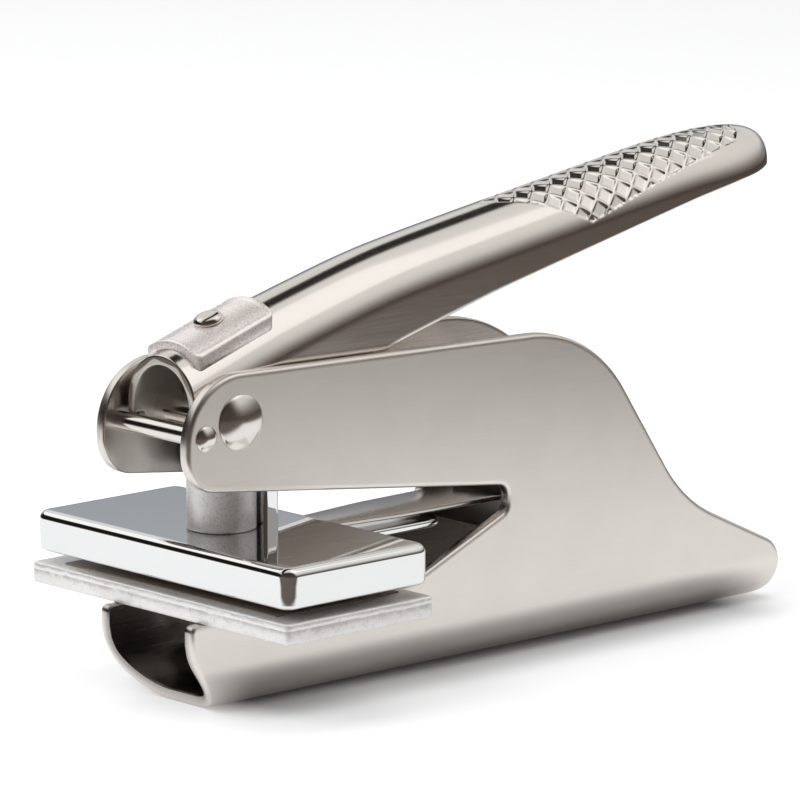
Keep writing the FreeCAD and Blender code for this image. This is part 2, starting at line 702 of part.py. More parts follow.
# ---------------------------------------------------------------- press
def make_plunger():
    """Round plunger with a smaller top, tapped from below for its screw."""
    high = plunger_top - size["plate_high"]
    step = high - size["button_height"]
    base = Vector(0, 0, size["plate_high"])
    up = Vector(0, 0, 1)
    shaft = Part.makeCylinder(size["plunger_radius"], step, base, up)
    button_radius = size["button_diameter"] / 2
    button = Part.makeCylinder(button_radius, size["button_height"], base + up * step, up)
    tapped = Part.makeCylinder(size["screw_diameter"] / 2, size["screw_grip"], base, up)
    return shape_part("plunger", shaft.fuse(button).removeSplitter().cut(tapped))


def make_bar():
    """Rectangular bar behind the plunger that keeps the press square."""
    bar = body_of("guide_bar")
    outline = polygon(bar, "XY_Plane", "bar_outline", [
        ("bar_front", "-bar_width / 2"), ("bar_front + bar_thickness", "-bar_width / 2"),
        ("bar_front + bar_thickness", "bar_width / 2"), ("bar_front", "bar_width / 2")])
    pad(bar, outline, "bar_pad", "bar_top - plate_high", lift="plate_high")
    tapped = circle(bar, "XY_Plane", "bar_tapped", "bar_front + bar_thickness / 2", "0",
                    "screw_diameter / 2")
    pocket(bar, tapped, "bar_hole", "screw_grip", lift="plate_high")
    return bar


def make_guide_block():
    """Block between the cheeks that guides the bar and clears the plunger."""
    block = body_of("guide_block")
    outline = polygon(block, "XY_Plane", "block_outline", [
        ("block_front", "-inner_half"), ("block_back", "-inner_half"),
        ("block_back", "inner_half"), ("block_front", "inner_half")])
    pad(block, outline, "block_pad", "block_high - block_low", lift="block_low")
    slot = polygon(block, "XY_Plane", "block_slot", [
        ("block_front / 2", "-bar_width / 2 - guide_clearance"),
        ("bar_front + bar_thickness + guide_clearance", "-bar_width / 2 - guide_clearance"),
        ("bar_front + bar_thickness + guide_clearance", "bar_width / 2 + guide_clearance"),
        ("block_front / 2", "bar_width / 2 + guide_clearance")])
    pocket(block, slot, "slot_cut", "block_high - block_low", lift="block_low")
    relief = circle(block, "XY_Plane", "block_relief", "0", "0", "plunger_radius + 2 * guide_clearance")
    pocket(block, relief, "relief_cut", "block_high - block_low", lift="block_low")
    return block


def make_upper_plate():
    """Upper plate: rounded edges, a recess for its die, two slots behind and screw holes."""
    plate = body_of("upper_plate")
    outline = polygon(plate, "XY_Plane", "plate_outline", [
        ("-plate_front", "-plate_width / 2"), ("plate_back", "-plate_width / 2"),
        ("plate_back", "plate_width / 2"), ("-plate_front", "plate_width / 2")])
    pad(plate, outline, "plate_pad", "plate_thickness", lift="plate_low")
    round_edges(plate, "plate_corners", "plate_corner", upright)
    round_edges(plate, "plate_top_edge", "plate_top_round", at_height("plate_high"))
    round_edges(plate, "plate_low_edge", "plate_low_round", at_height("plate_low"))
    recess = polygon(plate, "XY_Plane", "plate_recess", die_outline("die_fit"))
    pocket(plate, recess, "recess_cut", "die_seat", lift="plate_low")
    for place, x in (("plunger", "0"), ("bar", "bar_front + bar_thickness / 2")):
        head = circle(plate, "XY_Plane", f"{place}_head", x, "0", "screw_head / 2 + guide_clearance")
        pocket(plate, head, f"{place}_counterbore", "screw_head_height + guide_clearance",
               lift="recess_top")
        hole = circle(plate, "XY_Plane", f"{place}_shank", x, "0", "screw_diameter / 2")
        pocket(plate, hole, f"{place}_through", "plate_thickness", lift="plate_low")
    leaf_slot = polygon(plate, "XY_Plane", "leaf_slot", [
        ("plate_back - leaf_bite - slot_clearance", "-leaf_waist_width / 2"),
        ("plate_back + leaf_bite", "-leaf_waist_width / 2"),
        ("plate_back + leaf_bite", "leaf_waist_width / 2"),
        ("plate_back - leaf_bite - slot_clearance", "leaf_waist_width / 2")])
    pocket(plate, leaf_slot, "leaf_slot_cut", "leaf_thickness + 2 * slot_clearance",
           lift="leaf_height - slot_clearance")
    tail_slot = polygon(plate, "XY_Plane", "tail_slot", [
        ("plate_back - tail_bar_bite", "-tail_bar_width / 2"),
        ("plate_back + tail_bar_bite", "-tail_bar_width / 2"),
        ("plate_back + tail_bar_bite", "tail_bar_width / 2"),
        ("plate_back - tail_bar_bite", "tail_bar_width / 2")])
    pocket(plate, tail_slot, "tail_slot_cut", "tail_bar_thickness", lift="tail_bar_height")
    return plate


def die_outline(gap):
    """Corners of a die, or of its recess when a gap is given."""
    extra = f" + {gap}" if gap else ""
    less = f" - {gap}" if gap else ""
    front, back = f"plate_middle - die_length / 2{less}", f"plate_middle + die_length / 2{extra}"
    near, far = f"-die_width / 2{less}", f"die_width / 2{extra}"
    return [(front, near), (back, near), (back, far), (front, far)]


def make_die(label, lift):
    """Thin die plate, seated in its recess and standing a little proud of it."""
    die = body_of(label)
    outline = polygon(die, "XY_Plane", label + "_outline", die_outline(""))
    pad(die, outline, label + "_pad", "die_thickness", lift=lift)
    return die


def make_lower_plate():
    """Lower plate on the base's two walls, with a recess for its die and tapped holes."""
    plate = body_of("lower_plate")
    front, back = "-plate_front - bed_margin", "plate_back + bed_margin"
    near, far = "-plate_width / 2 - bed_margin", "plate_width / 2 + bed_margin"
    outline = polygon(plate, "XY_Plane", "bed_outline",
                      [(front, near), (back, near), (back, far), (front, far)])
    pad(plate, outline, "bed_pad", "bed_thickness", lift="base_height")
    round_edges(plate, "bed_corners", "bed_corner", upright)
    recess = polygon(plate, "XY_Plane", "bed_recess", die_outline("die_fit"))
    pocket(plate, recess, "bed_recess_cut", "die_seat", lift="bed_top - die_seat")
    for index, x in enumerate(rail_screw_places(), start=1):
        tapped = circle(plate, "XY_Plane", f"bed_tapped_{index}", x, "0", "screw_diameter / 2")
        pocket(plate, tapped, f"bed_hole_{index}", "rail_screw_bite", lift="base_height")
    return plate


def rail_screw_places():
    """The two screws' distances behind the axis."""
    middle = "rail_front + rail_length / 2"
    return (middle + " - rail_screw_pitch / 2", middle + " + rail_screw_pitch / 2")


def make_rail():
    """Rail between the base's walls that holds the lower plate down."""
    rail = body_of("locating_rail")
    outline = polygon(rail, "XY_Plane", "rail_outline", [
        ("rail_front", "-inner_half"), ("rail_front + rail_length", "-inner_half"),
        ("rail_front + rail_length", "inner_half"), ("rail_front", "inner_half")])
    pad(rail, outline, "rail_pad", "rail_depth", lift="base_height - rail_depth")
    for index, x in enumerate(rail_screw_places(), start=1):
        hole = circle(rail, "XY_Plane", f"rail_shank_{index}", x, "0", "screw_diameter / 2")
        pocket(rail, hole, f"rail_through_{index}", "rail_depth", lift="base_height - rail_depth")
    return rail


def screws(label, places, head_z, length, up):
    """Identical pan-head screws: a rounded head at head_z and a shank of the given length."""
    direction = Vector(0, 0, 1 if up else -1)
    head_radius, head_height = size["screw_head"] / 2, size["screw_head_height"]
    slot_depth, slot_width = head_height / 3, size["screw_diameter"] / 4
    solids = []
    for x, y in places:
        seat = Vector(x, y, head_z)
        face = seat - direction * head_height
        head = Part.makeCylinder(head_radius, head_height, seat, direction * -1)
        outer = [edge for edge in head.Edges if abs(edge.CenterOfMass.z - face.z) < SAME]
        head = head.makeFillet(head_height / 3, outer)
        slot_low = min(face.z, face.z + direction.z * slot_depth)
        slot = Part.makeBox(2 * head_radius, slot_width, slot_depth,
                            Vector(x - head_radius, y - slot_width / 2, slot_low))
        shank = Part.makeCylinder(size["screw_diameter"] / 2, length, seat, direction)
        solids.append(head.cut(slot).fuse(shank))
    return shape_part(label, Part.makeCompound(solids))


# ---------------------------------------------------------------- return spring
def clamp_holes(body, name, depth, lift):
    """The clamp's two screw holes in one of the three parts that it holds together."""
    middle = "saddle_front + saddle_length / 2"
    for index, y in enumerate(("-clamp_screw_pitch / 2", "clamp_screw_pitch / 2"), start=1):
        hole = circle(body, "XY_Plane", f"{name}_{index}", middle, y, "screw_diameter / 2")
        pocket(body, hole, f"{name}_cut_{index}", depth, lift=lift)


def make_leaf():
    """Leaf of the return spring: root on the saddle, tip in the upper plate's slot."""
    leaf = body_of("return_spring")
    tip = "plate_back - leaf_bite"
    root = "saddle_front + saddle_length"
    outline = polygon(leaf, "XY_Plane", "leaf_outline", [
        (tip, "-leaf_tip_width / 2"), ("leaf_waist_reach", "-leaf_waist_width / 2"),
        ("saddle_front", "-leaf_root_width / 2"), (root, "-leaf_root_width / 2"),
        (root, "leaf_root_width / 2"), ("saddle_front", "leaf_root_width / 2"),
        ("leaf_waist_reach", "leaf_waist_width / 2"), (tip, "leaf_tip_width / 2")])
    pad(leaf, outline, "leaf_pad", "leaf_thickness", lift="leaf_height")
    clamp_holes(leaf, "leaf_hole", "leaf_thickness", "leaf_height")
    return leaf


def make_saddle():
    """Block between the cheeks, behind the throat, that carries the leaf's root."""
    saddle = body_of("spring_saddle")
    back = "saddle_front + saddle_length"
    outline = polygon(saddle, "XY_Plane", "saddle_outline", [
        ("saddle_front", "-inner_half"), (back, "-inner_half"),
        (back, "inner_half"), ("saddle_front", "inner_half")])
    pad(saddle, outline, "saddle_pad", "saddle_depth", lift="leaf_height - saddle_depth")
    clamp_holes(saddle, "saddle_tapped", "clamp_screw_bite", "leaf_height - clamp_screw_bite")
    return saddle


def make_clamp():
    """Plate that holds the leaf's root down on the saddle."""
    clamp = body_of("spring_clamp")
    front, back = "saddle_front + clamp_inset", "saddle_front + saddle_length - clamp_inset"
    outline = polygon(clamp, "XY_Plane", "clamp_outline", [
        (front, "-clamp_width / 2"), (back, "-clamp_width / 2"),
        (back, "clamp_width / 2"), (front, "clamp_width / 2")])
    pad(clamp, outline, "clamp_pad", "clamp_thickness", lift="leaf_height + leaf_thickness")
    clamp_holes(clamp, "clamp_hole", "clamp_thickness", "leaf_height + leaf_thickness")
    return clamp


def make_tail_bar():
    """Tongue set in the upper plate's back edge, with a round end."""
    bar = body_of("press_tongue")
    outline = polygon(bar, "XY_Plane", "tongue_outline", [
        ("plate_back - tail_bar_bite", "-tail_bar_width / 2"), ("tail_bar_end", "-tail_bar_width / 2"),
        ("tail_bar_end", "tail_bar_width / 2"), ("plate_back - tail_bar_bite", "tail_bar_width / 2")])
    pad(bar, outline, "tongue_pad", "tail_bar_thickness", lift="tail_bar_height")

    def at_end(edge, middle):
        return upright(edge, middle) and abs(middle.x - size["tail_bar_end"]) < SAME

    round_edges(bar, "tongue_end", "tail_bar_width / 2 - tail_bar_flat / 2", at_end)
    return bar


def make_press_screws():
    """Screws that hold the plunger and the guide bar to the upper plate."""
    seat = size["recess_top"] + size["screw_head_height"]
    length = size["plate_high"] - seat + size["screw_grip"]
    places = [(0.0, 0.0), (number("bar_front + bar_thickness / 2"), 0.0)]
    return screws("press_screws", places, seat, length, True)


def make_rail_screws():
    """Screws that draw the rail and the lower plate together."""
    places = [(number(x), 0.0) for x in rail_screw_places()]
    return screws("rail_screws", places, number("base_height - rail_depth"),
                  number("rail_depth + rail_screw_bite"), True)


def make_clamp_screws():
    """Screws that clamp the leaf's root to the saddle."""
    middle = number("saddle_front + saddle_length / 2")
    places = [(middle, side * size["clamp_screw_pitch"] / 2) for side in (-1, 1)]
    return screws("clamp_screws", places, number("leaf_height + leaf_thickness + clamp_thickness"),
                  number("clamp_thickness + leaf_thickness + clamp_screw_bite"), False)


parts = [
    make_frame(),
    rivet("pivot_rivet", "pivot_diameter", "pivot_head", "pivot_head_rise",
          -size["pivot_reach"], size["pivot_height"]),
    rivet("stop_pin", "stop_diameter", "stop_head", "stop_head_rise",
          -size["stop_reach"], size["stop_height"]),
    make_washers(),
    make_handle(),
    make_badge(),
    make_badge_rivet(),
    make_roller(),
    make_roller_pin(),
    make_plunger(),
    make_bar(),
    make_guide_block(),
    make_upper_plate(),
    make_die("upper_die", "plate_low - die_proud"),
    make_die("lower_die", "bed_top - die_seat"),
    make_lower_plate(),
    make_rail(),
    make_leaf(),
    make_saddle(),
    make_clamp(),
    make_tail_bar(),
    make_press_screws(),
    make_rail_screws(),
    make_clamp_screws(),
]
doc.recompute()

for item in doc.Objects:
    if "Invalid" in item.State or "Error" in item.State:
        raise RuntimeError(f"{item.Label} failed: {item.State}")
os.makedirs("parts", exist_ok=True)
for part in parts:
    shape = part.Shape
    if shape.isNull() or not shape.isValid() or not shape.Solids:
        raise RuntimeError(f"{part.Label} has no valid solid")
    shape.exportStep(f"parts/{part.Label}.step")
    room = shape.BoundBox
    print(f"{part.Label:16s} {len(shape.Solids)} solids {shape.Volume:10.1f} mm3 "
          f"x {room.XMin:7.2f} {room.XMax:7.2f} z {room.ZMin:6.2f} {room.ZMax:6.2f}")
print(f"press travel {size['press_travel']:.3f} mm, handle swing {math.degrees(swing):.3f} degrees")
print(f"roller at {roller_x:.3f}, {roller_z:.3f}, plunger top {plunger_top:.3f}")
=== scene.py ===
"""Seal embosser: a hand lever press whose long arched handle drives a die plate on a bent frame.

Frame: +X runs from the nose to the tail, +Y to the far side and +Z up.  The shapes below are
worked out in millimetres and put into their meshes in metres.
"""
import json
import math

import bmesh
import bpy
import numpy as np
from mathutils import Matrix, Vector


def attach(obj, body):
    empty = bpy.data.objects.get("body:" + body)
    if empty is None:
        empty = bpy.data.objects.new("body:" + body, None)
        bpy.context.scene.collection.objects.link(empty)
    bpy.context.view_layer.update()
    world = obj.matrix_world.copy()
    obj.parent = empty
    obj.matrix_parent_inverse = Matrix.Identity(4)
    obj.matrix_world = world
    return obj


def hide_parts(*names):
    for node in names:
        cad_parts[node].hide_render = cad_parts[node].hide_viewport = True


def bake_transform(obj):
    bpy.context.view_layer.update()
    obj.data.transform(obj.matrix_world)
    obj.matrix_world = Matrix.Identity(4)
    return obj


bl_info = {
    "name": "Seal embosser",
    "version": (1, 0, 0),
    "blender": (4, 5, 0),
    "location": "3D View > Sidebar > Embosser",
    "description": "Dresses a lever-press seal embosser: bent frame, arched handle, plates and stage",
    "category": "Add Mesh",
}

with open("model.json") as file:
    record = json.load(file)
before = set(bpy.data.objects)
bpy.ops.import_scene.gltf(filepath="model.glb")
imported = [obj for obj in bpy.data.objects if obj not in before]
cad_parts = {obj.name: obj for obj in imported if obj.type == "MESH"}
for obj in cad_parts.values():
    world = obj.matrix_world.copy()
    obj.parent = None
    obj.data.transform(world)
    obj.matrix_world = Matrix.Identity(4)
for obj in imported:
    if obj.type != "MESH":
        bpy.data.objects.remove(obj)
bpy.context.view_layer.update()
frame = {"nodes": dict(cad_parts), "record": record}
MM = 0.001


def linear(code):
    """Linear RGBA of an sRGB hex colour."""
    share = np.array([int(code[i:i + 2], 16) for i in (1, 3, 5)]) / 255.0
    light = np.where(share <= 0.04045, share / 12.92, ((share + 0.055) / 1.055) ** 2.4)
    return (*light.tolist(), 1.0)


# ---------------------------------------------------------------- sizes and colours
def length(name, text, value):
    """Length property, shown in the scene's length unit."""
    return bpy.props.FloatProperty(name=name, description=text, default=value * MM, unit="LENGTH")


def colour(name, text, code):
    """Colour property whose default is an sRGB hex value."""
    return bpy.props.FloatVectorProperty(name=name, description=text, default=linear(code),
                                         subtype="COLOR", size=4, min=0.0, max=1.0)


class EmbosserSizes(bpy.types.PropertyGroup):
    """Sizes of the details that a maker would change."""
    rim_round: length("Rim rounding", "Rounding of the sheet's outer edges; inside it is half", 0.6)
    handle_round: length("Handle rim", "Rounding of the handle's edges", 0.3)
    net_pitch: length("Net pitch", "Length of one diamond along the handle", 3.95)
    net_across: length("Net width", "Width of one diamond round the handle", 3.9)
    net_depth: length("Net depth", "How deep the diamonds are pressed in", 0.23)
    net_line: length("Net line", "Width of the line between two diamonds", 0.46)


class EmbosserColours(bpy.types.PropertyGroup):
    """Colours of the metals."""
    satin: colour("Satin nickel", "Frame's sheet", "#F0EAE4")
    bright: colour("Bright nickel", "Handle, rivets and pin", "#EBE6E1")
    cast: colour("Cast nickel", "Badge plate", "#FAEFEC")
    chrome: colour("Chromium", "Press plate and guide bar", "#F1F2F2")
    zinc: colour("Cast zinc", "Lower plate", "#FBF8F5")
    turned: colour("Blasted steel", "Plunger", "#FAF8F5")
    ground: colour("Ground steel", "Roller and its pin", "#C9C6C1")
    plain: colour("Plain steel", "Guide block, rail, saddle and clamp", "#8E8883")
    spring: colour("Spring steel", "Return spring", "#CDC7C2")
    brass: colour("Brass", "Upper die", "#B5A588")
    resin: colour("Resin", "Counter die", "#857970")
    screw: colour("Zinc plate", "Screws", "#C4C6C4")


# ---------------------------------------------------------------- materials
# Slot of the record: the material's name, its tone and, for a metal, the look of its surface.
# A pixel of the render is about 0.15 mm wide, so lines and pits that are finer in life, such as
# the 0.05 mm lines of a brushing belt, are drawn two or three times as coarse, to show at all.
FINISHES = {
    # Satin nickel over belt-brushed sheet: soft wide reflections, fine lines along the sheet.
    # The inside is painted darker as shade, most low down in the channel and less higher up, and is
    # rougher.
    "nickel_satin": ("satin nickel, belt-brushed", "satin", {
        "rough": 0.33, "grain_mm": (14.0, 0.16, 0.16), "bump_mm": 0.004, "contrast": 0.045,
        "inner_shade_and_rough": (0.5, 0.9, 0.24)}),
    # Bright nickel over polished sheet: clear reflections with faint buffing lines.
    "nickel_bright": ("bright nickel, buffed", "bright", {
        "rough": 0.15, "grain_mm": (18.0, 0.2, 0.2), "bump_mm": 0.0012, "contrast": 0.03,
        "rough_spread": 0.03, "inner_shade_and_rough": (1.0, 1.0, 0.5)}),
    # Nickel-plated pressure casting: bright but with the tooth of the mould, drawn twice as coarse.
    "nickel_cast": ("cast nickel, fine tooth", "cast", {
        "rough": 0.3, "grain_mm": (0.4, 0.4, 0.4), "bump_mm": 0.05, "contrast": 0.1,
        "rough_spread": 0.08, "metallic": 0.62}),
    # Chromium over ground and polished steel: a mirror with hairlines across the press.
    "chrome_plate": ("chromium plate, mirror-polished", "chrome", {
        "rough": 0.035, "grain_mm": (0.3, 26.0, 0.3), "bump_mm": 0.0004, "contrast": 0.015,
        "rough_spread": 0.012}),
    # Zinc casting with wheel-cleaned edges: pale, matt and speckled.
    "zinc_cast": ("cast zinc, wheel-cleaned", "zinc", {
        "rough": 0.34, "grain_mm": (0.3, 0.3, 0.22), "bump_mm": 0.04, "contrast": 0.16,
        "rough_spread": 0.08, "detail": 5.0, "pit_mm": 0.7, "metallic": 0.55}),
    # Turned steel, bead-blasted: frosted, with dark pits.  Beads leave pits of 0.1 mm, drawn at 0.3.
    "steel_turned": ("turned steel, bead-blasted", "turned", {
        "rough": 0.34, "grain_mm": (0.3, 0.3, 0.3), "bump_mm": 0.05, "contrast": 0.26,
        "rough_spread": 0.1, "pit_mm": 0.5, "metallic": 0.6}),
    # Hardened steel, ground: fine lines, drawn 0.1 mm wide.
    "steel_hard": ("hardened steel, ground", "ground", {
        "rough": 0.2, "grain_mm": (0.1, 6.0, 0.1), "bump_mm": 0.002, "contrast": 0.05}),
    # Plain mild steel, darkened by oil.
    "steel_plain": ("mild steel, oiled", "plain", {
        "rough": 0.36, "grain_mm": (3.0, 0.25, 0.25), "bump_mm": 0.006, "contrast": 0.1}),
    # Cold-rolled spring steel: rolling lines along the leaf.
    "spring_steel": ("spring steel, cold-rolled", "spring", {
        "rough": 0.2, "grain_mm": (12.0, 0.2, 0.2), "bump_mm": 0.002}),
    # Brass, rolled to a blank: lines along it.
    "brass_die": ("brass, rolled", "brass", {
        "rough": 0.25, "grain_mm": (8.0, 0.2, 0.2), "bump_mm": 0.003}),
    # Zinc-plated and passivated screws: a faint cloudiness.
    "screw_zinc": ("zinc plate, passivated", "screw", {
        "rough": 0.24, "grain_mm": (0.6, 0.6, 0.6), "bump_mm": 0.004}),
    # Counter die, moulded phenolic resin: the one piece that is no metal, half matt.
    "counter_die": ("phenolic resin, moulded", "resin", None),
}
STAIN_MM = (9.0, 9.0, 9.0)
PIT_START, PIT_FULL = 0.56, 0.66
# Heights in metres between which the painted shade inside a sheet goes from its low to its high factor.
INNER_SHADE_LOW_Z, INNER_SHADE_HIGH_Z = 0.02, 0.036

# Kinds of node that stand more than once, and a mix's settings and inputs for two colours.
MATH, VECTORS, RANGE = "ShaderNodeMath", "ShaderNodeVectorMath", "ShaderNodeMapRange"
RAMP, MIX = "ShaderNodeValToRGB", "ShaderNodeMix"
COLOURS, FIRST, SECOND = {"data_type": "RGBA"}, 6, 7
SMOOTH = {"interpolation_type": "SMOOTHSTEP"}
# Noise keeps to the middle half of 0..1.
NOISE_MIDDLE = {"From Min": 0.25, "From Max": 0.75}


def feed(tree, node, inputs):
    """Fill inputs of a node: each takes a value, a socket, or a node for its first output in use."""
    for name, value in inputs.items():
        if isinstance(value, bpy.types.Node):
            value = next(socket for socket in value.outputs if socket.enabled)
        if isinstance(value, bpy.types.NodeSocket):
            tree.links.new(value, node.inputs[name])
        else:
            node.inputs[name].default_value = value


def add(tree, kind, inputs=(), stops=(), **settings):
    """Node with its settings, what feeds it, and a colour ramp's stops, its two ends first."""
    node = tree.nodes.new(kind)
    for name, value in settings.items():
        setattr(node, name, value)
    for index, (position, code) in enumerate(stops):
        elements = node.color_ramp.elements
        element = elements[index] if index < 2 else elements.new(position)
        element.position, element.color = position, linear(code)
    feed(tree, node, dict(inputs))
    return node


def start_material(name):
    """New node material: its tree, its Principled shader and the object's own coordinates."""
    material = bpy.data.materials.new(name)
    material.use_nodes = True
    tree = material.node_tree
    shader = tree.nodes["Principled BSDF"]
    place = add(tree, "ShaderNodeTexCoord").outputs["Object"]
    return material, tree, shader, place


def grain(tree, place, sizes_mm, detail=3.0):
    """Noise whose grain has the given length along X, Y and Z in millimetres."""
    scale = [1.0 / (size * MM) for size in sizes_mm]
    mapped = add(tree, "ShaderNodeMapping", {"Vector": place, "Scale": scale})
    return add(tree, "ShaderNodeTexNoise", {
        "Vector": mapped, "Scale": 1.0, "Detail": detail, "Roughness": 0.6})


def shade(colour_value, factor):
    """The same colour, lighter or darker by a factor."""
    return (*[min(1.0, channel * factor) for channel in colour_value[:3]], 1.0)


def metal(name, base, rough, grain_mm, bump_mm, contrast=0.06, rough_spread=0.05, detail=3.0,
          pit_mm=None, inner_shade_and_rough=None, metallic=1.0):
    """Metal with a directional grain, its tone and gloss varied by the same grain.

    Small dark pits come from a second noise above its threshold.  The inner side of a sheet has
    a roughness of its own and painted shade: its tone is the base's times one of two factors,
    darker low down and lighter high up.  Where metallic is below 1, the rest scatters like chalk,
    as a blasted or cast skin does.
    """
    material, tree, shader, place = start_material(name)
    fine = grain(tree, place, grain_mm, detail)
    both = add(tree, MATH, {0: fine, 1: grain(tree, place, STAIN_MM, 2.0)}, operation="ADD")
    both = add(tree, MATH, {0: both, 1: 0.5}, operation="MULTIPLY")
    value = add(tree, RANGE, {"Value": both, **NOISE_MIDDLE})
    if pit_mm:
        pits = add(tree, RANGE, {
            "Value": grain(tree, place, (pit_mm,) * 3, 2.0), "From Min": PIT_START, "From Max": PIT_FULL,
            "To Min": 1.0, "To Max": 0.0})
        value = add(tree, MATH, {0: value, 1: pits}, operation="MULTIPLY")
    darker, lighter = shade(base, 1 - contrast), shade(base, 1 + contrast)
    tone = add(tree, MIX, {0: value, FIRST: darker, SECOND: lighter}, **COLOURS)
    gloss = add(tree, RANGE, {
        "Value": fine, **NOISE_MIDDLE, "To Min": rough - rough_spread, "To Max": rough + rough_spread})
    # Painted shade inside a sheet: its tone is darkened, most low down, and it gets a roughness of its
    # own.
    if inner_shade_and_rough:
        low, high, inner_rough = inner_shade_and_rough
        inside = add(tree, "ShaderNodeAttribute", attribute_name="inside").outputs["Fac"]
        level = add(tree, "ShaderNodeSeparateXYZ", {"Vector": place}).outputs["Z"]
        level = add(tree, RANGE, {"Value": level, "From Min": INNER_SHADE_LOW_Z, "From Max": INNER_SHADE_HIGH_Z})
        inner = add(tree, MIX, {0: level, FIRST: shade(base, low), SECOND: shade(base, high)}, **COLOURS)
        tone = add(tree, MIX, {0: inside, FIRST: tone, SECOND: inner}, **COLOURS)
        gloss = add(tree, MATH, {0: inside, 1: inner_rough - rough, 2: gloss}, operation="MULTIPLY_ADD")
    bump = add(tree, "ShaderNodeBump", {"Strength": 1.0, "Distance": bump_mm * MM, "Height": fine})
    feed(tree, shader, {"Base Color": tone, "Roughness": gloss, "Metallic": metallic, "Normal": bump})
    return material


def moulded(name, base):
    """Moulded resin with a faint fine mottle."""
    material, tree, shader, place = start_material(name)
    value = add(tree, RANGE, {"Value": grain(tree, place, (0.3, 0.3, 0.3)), **NOISE_MIDDLE})
    tone = add(tree, MIX, {0: value, FIRST: shade(base, 0.94), SECOND: shade(base, 1.04)}, **COLOURS)
    feed(tree, shader, {"Base Color": tone, "Roughness": 0.45})
    return material


def finish(slot):
    """Material of a slot, made once and kept by its name."""
    name, tone, look = FINISHES[slot]
    if name in bpy.data.materials:
        return bpy.data.materials[name]
    base = getattr(bpy.context.scene.embosser_colours, tone)
    return metal(name, base, **look) if look else moulded(name, base)


# ---------------------------------------------------------------- mesh tools
MIRROR = np.array([1, -1, 1])


def lattice(rows, columns, start, close_rows, close_columns):
    """Quads of a grid whose vertex (i, j) has the number start + i * columns + j."""
    i = np.arange(rows if close_rows else rows - 1)[:, None]
    j = np.arange(columns if close_columns else columns - 1)[None, :]
    i2, j2 = (i + 1) % rows, (j + 1) % columns
    quads = np.stack([i * columns + j, i * columns + j2, i2 * columns + j2, i2 * columns + j], -1)
    return (quads.reshape(-1, 4) + start).tolist()


def shell(name, patches, body, node, slot, sharp=38.0):
    """Closed piece welded from patches, its faces turned outwards, in the finish of its slot.

    A patch is (points, close_rows, close_columns) for a grid, or a plain list of points for one
    flat face.  Points are in millimetres.  Edges sharper than sharp, in degrees, stay crisp.
    """
    points, faces, start = [], [], 0
    for patch in patches:
        if isinstance(patch, tuple):
            grid, close_rows, close_columns = patch
            faces += lattice(*grid.shape[:2], start, close_rows, close_columns)
            points.append(grid.reshape(-1, 3))
        else:
            faces.append(list(range(start, start + len(patch))))
            points.append(np.asarray(patch))
        start += len(points[-1])
    data = bpy.data.meshes.new(name)
    data.from_pydata((np.concatenate(points) * MM).tolist(), [], faces)
    mesh = bmesh.new()
    mesh.from_mesh(data)
    bmesh.ops.remove_doubles(mesh, verts=mesh.verts, dist=2e-6)
    bmesh.ops.dissolve_degenerate(mesh, edges=mesh.edges, dist=1e-7)
    bmesh.ops.recalc_face_normals(mesh, faces=mesh.faces)
    loose = [edge for edge in mesh.edges if not edge.is_manifold]
    if loose:
        raise RuntimeError(f"{name}: {len(loose)} edges of the shell are open")
    if mesh.calc_volume(signed=True) < 0:
        bmesh.ops.reverse_faces(mesh, faces=mesh.faces)
    mesh.to_mesh(data)
    mesh.free()
    data.polygons.foreach_set("use_smooth", np.ones(len(data.polygons), bool))
    data.set_sharp_from_angle(angle=math.radians(sharp))
    item = bpy.data.objects.new(name, data)
    bpy.context.scene.collection.objects.link(item)
    data.materials.append(finish(slot))
    if body:
        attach(item, body)
    if node:
        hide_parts(node)
    return item


def capped(name, grid, body, node, slot, sharp=38.0):
    """Piece whose rows are closed rings, its first and last ring filled with a flat face."""
    return shell(name, [(grid, False, True), list(grid[0]), list(grid[-1])], body, node, slot, sharp)


def mark_inside(piece, inside):
    """Store 1 on the points of a sheet's inner side, 0 on the others; inside takes x, y, z in mm."""
    data = piece.data
    place = np.empty(len(data.vertices) * 3)
    data.vertices.foreach_get("co", place)
    marks = inside(*(place.reshape(-1, 3).T / MM)).astype(float)
    data.attributes.new("inside", "FLOAT", "POINT").data.foreach_set("value", marks)


def turned(profile, centre, axis, steps=72):
    """Surface of revolution: a profile of (radius, height) turned about Y or Z.

    Point (i, j) stands at height h_j along the axis and at radius r_j in the direction of
    angle i.
    """
    radius, height = np.asarray(profile, float).T
    angle = np.linspace(0, 2 * math.pi, steps, endpoint=False)[:, None]
    ring = np.cos(angle) * radius, np.sin(angle) * radius, np.broadcast_to(height, (steps, len(height)))
    order = {"y": (0, 2, 1), "z": (0, 1, 2)}[axis]
    return np.stack([ring[k] for k in order], -1) + np.asarray(centre, float), True, False


def fillet(start, corner, end, radius, steps=6):
    """Points of a round corner: a circle of that radius that touches both sides."""
    start, corner, end = (np.asarray(p, float) for p in (start, corner, end))
    to_start = (start - corner) / np.linalg.norm(start - corner)
    to_end = (end - corner) / np.linalg.norm(end - corner)
    half = math.acos(np.clip(to_start @ to_end, -1, 1)) / 2
    bisector = (to_start + to_end) / np.linalg.norm(to_start + to_end)
    middle = corner + bisector * radius / math.sin(half)
    first = corner + to_start * radius / math.tan(half) - middle
    last = corner + to_end * radius / math.tan(half) - middle
    turn = math.pi - 2 * half
    share = np.linspace(0, 1, steps + 1)[:, None]
    return middle + (np.sin((1 - share) * turn) * first + np.sin(share * turn) * last) / math.sin(turn)


def rounded_path(corners, radii):
    """Closed path through corners, each rounded by its own radius, 0 for a sharp one."""
    path = []
    for index, (corner, radius) in enumerate(zip(corners, radii)):
        if radius:
            following = corners[(index + 1) % len(corners)]
            path.append(fillet(corners[index - 1], corner, following, radius, max(4, int(radius * 3))))
        else:
            path.append(np.asarray(corner, float)[None, :])
    return np.concatenate(path)


